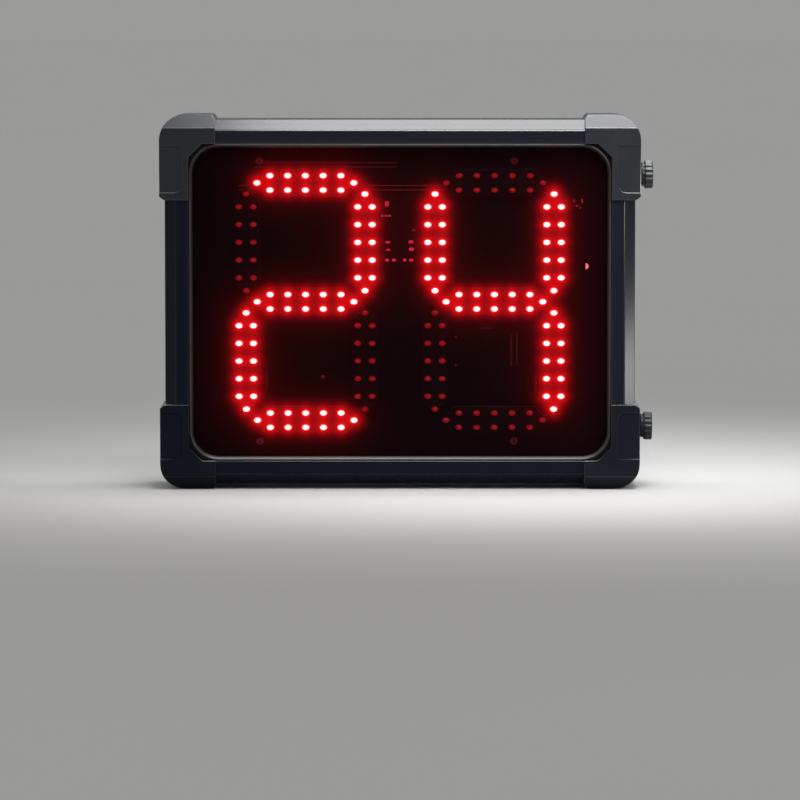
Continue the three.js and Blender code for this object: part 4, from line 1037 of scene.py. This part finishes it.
STUD_ROWS_PER_PITCH = 10
STUD_POINT = 1 * MM
STUD_SHARP_ANGLE = math.radians(60)
# Slope of a thread's flanks and share of its height that its flat crest takes
THREAD_SLOPE = 1.25
THREAD_CREST = 0.15
WASHER_PLAY = 0.3 * MM
WASHER_FILLET = 0.25 * MM
TURNED_SIDES = 72


class MakeKnobs(bpy.types.Operator):
    """Makes the fluted thumb knobs with their threaded studs and washers"""

    bl_idname = "clock.make_knobs"
    bl_label = "Thumb knobs"

    def execute(self, context):
        for name, gloss in KNOB_PAINTED_LIGHT_GLOSS.items():
            self.make_knob(name, gloss)
            self.make_stud(name)
            self.make_washer(name)
        return {"FINISHED"}

    def make_knob(self, name, gloss):
        """A fluted knob: its radius falls by a rounded wave of the turn, a sharpened (1 - cos nt) / 2."""
        middle, half = node_middle(name)
        along, radius, flute = (np.array(KNOB_PROFILE_MM) * [MM, MM, sizes().flute_depth]).T
        flutes = sizes().knob_flutes
        turn = full_turn(flutes * KNOB_SIDES_PER_FLUTE)
        dip = ((1 - np.cos(flutes * turn)) / 2) ** FLUTE_SHARPNESS
        reach = radius[:, None] - flute[:, None] * dip
        part = turned_part(middle[0] - half[0] + along, reach, middle)
        mesh = built_mesh(f"{name}_fluted", [part], sharp=KNOB_SHARP_ANGLE)
        piece(mesh, [knob_finish(name, gloss)], name, (name,))

    def make_stud(self, name):
        """A threaded stud with a pointed end: its radius falls by a triangle wave of the distance
        along it less the turn's share of the pitch, which winds one ridge round it."""
        low, high = node_box(f"{name}_stud")
        radius = (high[2] - low[2]) / 2
        pitch = sizes().thread_pitch
        rows = int((high[0] - low[0]) / pitch * STUD_ROWS_PER_PITCH) + 1
        along = np.linspace(low[0], high[0], rows)
        phase = (along[:, None] / pitch - full_turn(STUD_SIDES) / (2 * math.pi)) % 1
        wave = THREAD_SLOPE * np.abs(2 * phase - 1) - THREAD_CREST
        groove = np.clip(wave, 0, 1) * sizes().thread_depth
        point = np.minimum(along - low[0] - STUD_POINT, 0)[:, None]
        reach = np.pad(np.minimum(radius - groove, radius + point), ((1, 1), (0, 0)))
        part = turned_part(np.pad(along, 1, "edge"), reach, (low + high) / 2)
        mesh = built_mesh(f"{name}_stud_threaded", [part], sharp=STUD_SHARP_ANGLE)
        piece(mesh, "steel", body=name, stands_for=(f"{name}_stud",))

    def make_washer(self, name):
        """A washer: a rounded ring of four corners, turned."""
        low, high = node_box(f"{name}_washer")
        outer = (high[2] - low[2]) / 2
        inner = node_middle(f"{name}_stud")[1][2] + WASHER_PLAY
        ring = filleted(np.array([
            [low[0], inner], [low[0], outer], [high[0], outer], [high[0], inner]]), WASHER_FILLET)
        along, radius = np.concatenate([ring, ring[:1]]).T
        part = turned_part(along, np.repeat(radius[:, None], TURNED_SIDES, 1), (low + high) / 2)
        mesh = built_mesh(f"{name}_washer_turned", [part])
        piece(mesh, "steel", body=name.replace("knob", "washer"), stands_for=(f"{name}_washer",))


# Rocker signs
SIGN_THICKNESS = 0.06 * MM
SIGN_HEIGHT = 3.4 * MM
SIGN_STROKE = 0.7 * MM
SIGN_SIDES = 48
# How far along Y the normal of an outer face reaches
OUTER_TILT = 0.9
X_AXIS = np.array([1.0, 0.0, 0.0])


def rocker_face(upper):
    """Middle, up direction and outward normal of one of the rocker's two large outer faces."""
    middle_z = node_middle("power_rocker")[0][2]
    outer = [
        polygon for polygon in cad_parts["power_rocker"].data.polygons
        if polygon.normal[1] > OUTER_TILT and (polygon.center[2] > middle_z) == upper
    ]
    largest = max(polygon.area for polygon in outer)
    faces = [polygon for polygon in outer if polygon.area > largest / 2]
    centres = np.array([polygon.center for polygon in faces])
    areas = np.array([polygon.area for polygon in faces])
    normal = np.array(faces[0].normal)
    return np.average(centres, 0, areas), np.cross(normal, -X_AXIS), normal


def printed_part(face, across, rise, lift, **closed):
    """A print on a rocker face: points lie across along X, rise up the face and lift off it."""
    middle, up, normal = face
    across, rise, lift = (grid[..., None] for grid in np.broadcast_arrays(across, rise, lift))
    points = middle + across * X_AXIS + rise * up + lift * SIGN_THICKNESS * normal
    return points, sheet_quads(*points.shape[:2], **closed)


def ring_part(face, radius, stroke):
    """A printed loop: an inner and an outer circle on the face and the same two just behind it."""
    turn = full_turn(SIGN_SIDES)[:, None]
    reach = radius - np.array([0, stroke, stroke, 0])
    return printed_part(
        face, np.cos(turn) * reach, np.sin(turn) * reach, np.array([1, 1, -1, -1]),
        round_rows=True, round_columns=True)


def bar_part(face, half_up, half_side):
    """A printed bar, as four rows of its corners closed at both ends by poles."""
    scale = np.array([0, 1, 1, 0])[:, None]
    return printed_part(
        face, scale * np.array([-1, 1, 1, -1]) * half_side, scale * np.array([-1, -1, 1, 1]) * half_up,
        np.array([-1, -1, 1, 1])[:, None], round_columns=True)


class MakePowerParts(bpy.types.Operator):
    """Rounds the power inlet, its pins and the rocker switch, and prints the rocker's two signs"""

    bl_idname = "clock.make_power_parts"
    bl_label = "Inlet and switch"

    def execute(self, context):
        bodies = {"power_inlet": "casing", "switch_housing": "casing", "power_rocker": "rocker"}
        for node, body in bodies.items():
            softened(node, "moulding", "black_plastic", sizes().trim_softness, body=body)
        for node in PINS:
            softened(node, "plated", "steel", sizes().trim_softness)
        signs = {
            "on": bar_part(rocker_face(True), SIGN_HEIGHT / 2, SIGN_STROKE / 2),
            "off": ring_part(rocker_face(False), SIGN_HEIGHT / 2, SIGN_STROKE),
        }
        for name, part in signs.items():
            piece(built_mesh(f"power_rocker_{name}_sign", [part]), "sign", "rocker")
        return {"FINISHED"}


class FinishKeptParts(bpy.types.Operator):
    """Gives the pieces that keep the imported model's shapes their finishes"""

    bl_idname = "clock.finish_kept_parts"
    bl_label = "Back panel and inner parts"

    def execute(self, context):
        for name, nodes in KEPT_FINISHES.items():
            for node in nodes:
                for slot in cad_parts[node].material_slots:
                    slot.material = finish(name)
        return {"FINISHED"}


# Stage

# Soft lamps: name, place, what it points at, width, depth, power in watts, angle of its beam
SOFT_LAMPS = (
    ("Overhead", (0.15, 0.03, 0.85), (0.15, 0.03, 0.29), 0.62, 0.24, 1.75, 80),
    ("Front strip", (0.12, -0.42, 0.72), (0.08, -0.03, 0.14), 0.50, 0.26, 0.8, 55),
    ("Key", (0.48, -0.60, 0.60), (0.08, -0.03, 0.19), 0.26, 0.26, 0.25, 50),
    ("Right card", (0.66, 0.12, 0.05), (0.19, 0.0, 0.08), 0.16, 0.08, 0.026, 40),
)
FLOOR_HALF_WIDTH = 60.0
WORLD_TONE = (1.0, 1.0, 0.99, 1.0)


def staged(name, data):
    """An object that is linked to the scene."""
    made = bpy.data.objects.new(name, data)
    bpy.context.scene.collection.objects.link(made)
    return made


class SetStage(bpy.types.Operator):
    """Sets the camera, the soft lamps, the floor and the light from all round"""

    bl_idname = "clock.set_stage"
    bl_label = "Stage"

    def execute(self, context):
        self.set_camera(context.scene)
        for lamp in SOFT_LAMPS:
            self.hang_lamp(*lamp)
        self.lay_floor()
        self.light_world(context.scene)
        context.scene.view_settings.view_transform = "Standard"
        return {"FINISHED"}

    def set_camera(self, scene):
        """A camera that looks along the line to the clock's middle, lowered so that the clock lies
        above the image's middle."""
        elevation, distance = stage().elevation, stage().distance
        data = bpy.data.cameras.new("Camera")
        data.lens = data.sensor_width * distance / (IMAGE_PIXELS * stage().pixel_size)
        camera = staged("Camera", data)
        away = Vector((0, -math.cos(elevation), math.sin(elevation)))
        camera.location = Vector(casing_middle()) + distance * away
        drop = math.atan(stage().rise_pixels * stage().pixel_size / distance)
        camera.rotation_euler = (math.pi / 2 - elevation - drop, 0, 0)
        scene.camera = camera

    def hang_lamp(self, name, place, target, width, depth, power, beam):
        data = settled(
            bpy.data.lights.new(name, "AREA"), shape="RECTANGLE", size=width, size_y=depth, energy=power,
            spread=math.radians(beam))
        aim = (Vector(target) - Vector(place)).to_track_quat("-Z", "Y").to_euler()
        settled(staged(name, data), visible_camera=False, location=place, rotation_euler=aim)

    def lay_floor(self):
        """A flat floor that fills the view up to the horizon."""
        side = np.array([-1, 1]) * FLOOR_HALF_WIDTH
        mesh = bpy.data.meshes.new("Floor")
        points = grid_points(side, side[:, None], 0).reshape(-1, 3)
        mesh.from_pydata(points.tolist(), [], sheet_quads(2, 2).tolist())
        mesh.materials.append(surface(
            "Studio floor", stage().floor, 0.8, grain(3, 600), specular=0.1, bump=0.02, variation=0.015,
            spread=0.05, **CLEAN))
        staged("Floor", mesh)

    def light_world(self, scene):
        """An even grey that the camera, gloss and glass see at one level and all else at another."""
        world = scene.world = bpy.data.worlds.new("Studio")
        world.use_nodes = True
        tree = world.node_tree
        path = add(tree, "ShaderNodeLightPath").outputs
        seen = worked_out(tree, "MAXIMUM", path["Is Camera Ray"], path["Is Glossy Ray"])
        seen = worked_out(tree, "MAXIMUM", seen, path["Is Transmission Ray"])
        level = ramp(tree, seen, low=stage().fill, high=stage().backdrop)
        wire(tree, tree.nodes["Background"].inputs, {"Color": WORLD_TONE, "Strength": level})


class ClockPanel(bpy.types.Panel):
    """Lists the clock's operators and settings"""

    bl_idname = "VIEW3D_PT_shot_clock"
    bl_label = "Shot clock"
    bl_space_type = "VIEW_3D"
    bl_region_type = "UI"
    bl_category = "Shot clock"

    def draw(self, context):
        for operator in STEPS:
            self.layout.operator(operator.bl_idname)
        for group in SETTINGS:
            settings = getattr(context.scene, group)
            box = self.layout.box()
            for name in settings.__annotations__:
                box.prop(settings, name)


STEPS = (
    SetStage, MakeCasing, MakeGasket, MakeFilter, MakeBoard, MakeLamps, MakeKnobs, MakePowerParts,
    FinishKeptParts,
)
SETTINGS = {"clock_sizes": ClockSizes, "clock_colours": ClockColours, "clock_stage": ClockStage}
CLASSES = (*SETTINGS.values(), *STEPS, ClockPanel)


def register():
    for entry in CLASSES:
        bpy.utils.register_class(entry)
    for name, group in SETTINGS.items():
        setattr(bpy.types.Scene, name, PointerProperty(type=group))


def unregister():
    for name in SETTINGS:
        delattr(bpy.types.Scene, name)
    for entry in reversed(CLASSES):
        bpy.utils.unregister_class(entry)


def main():
    register()
    for operator in STEPS:
        group, name = operator.bl_idname.split(".")
        getattr(getattr(bpy.ops, group), name)()


if __name__ == "__main__":
    main()
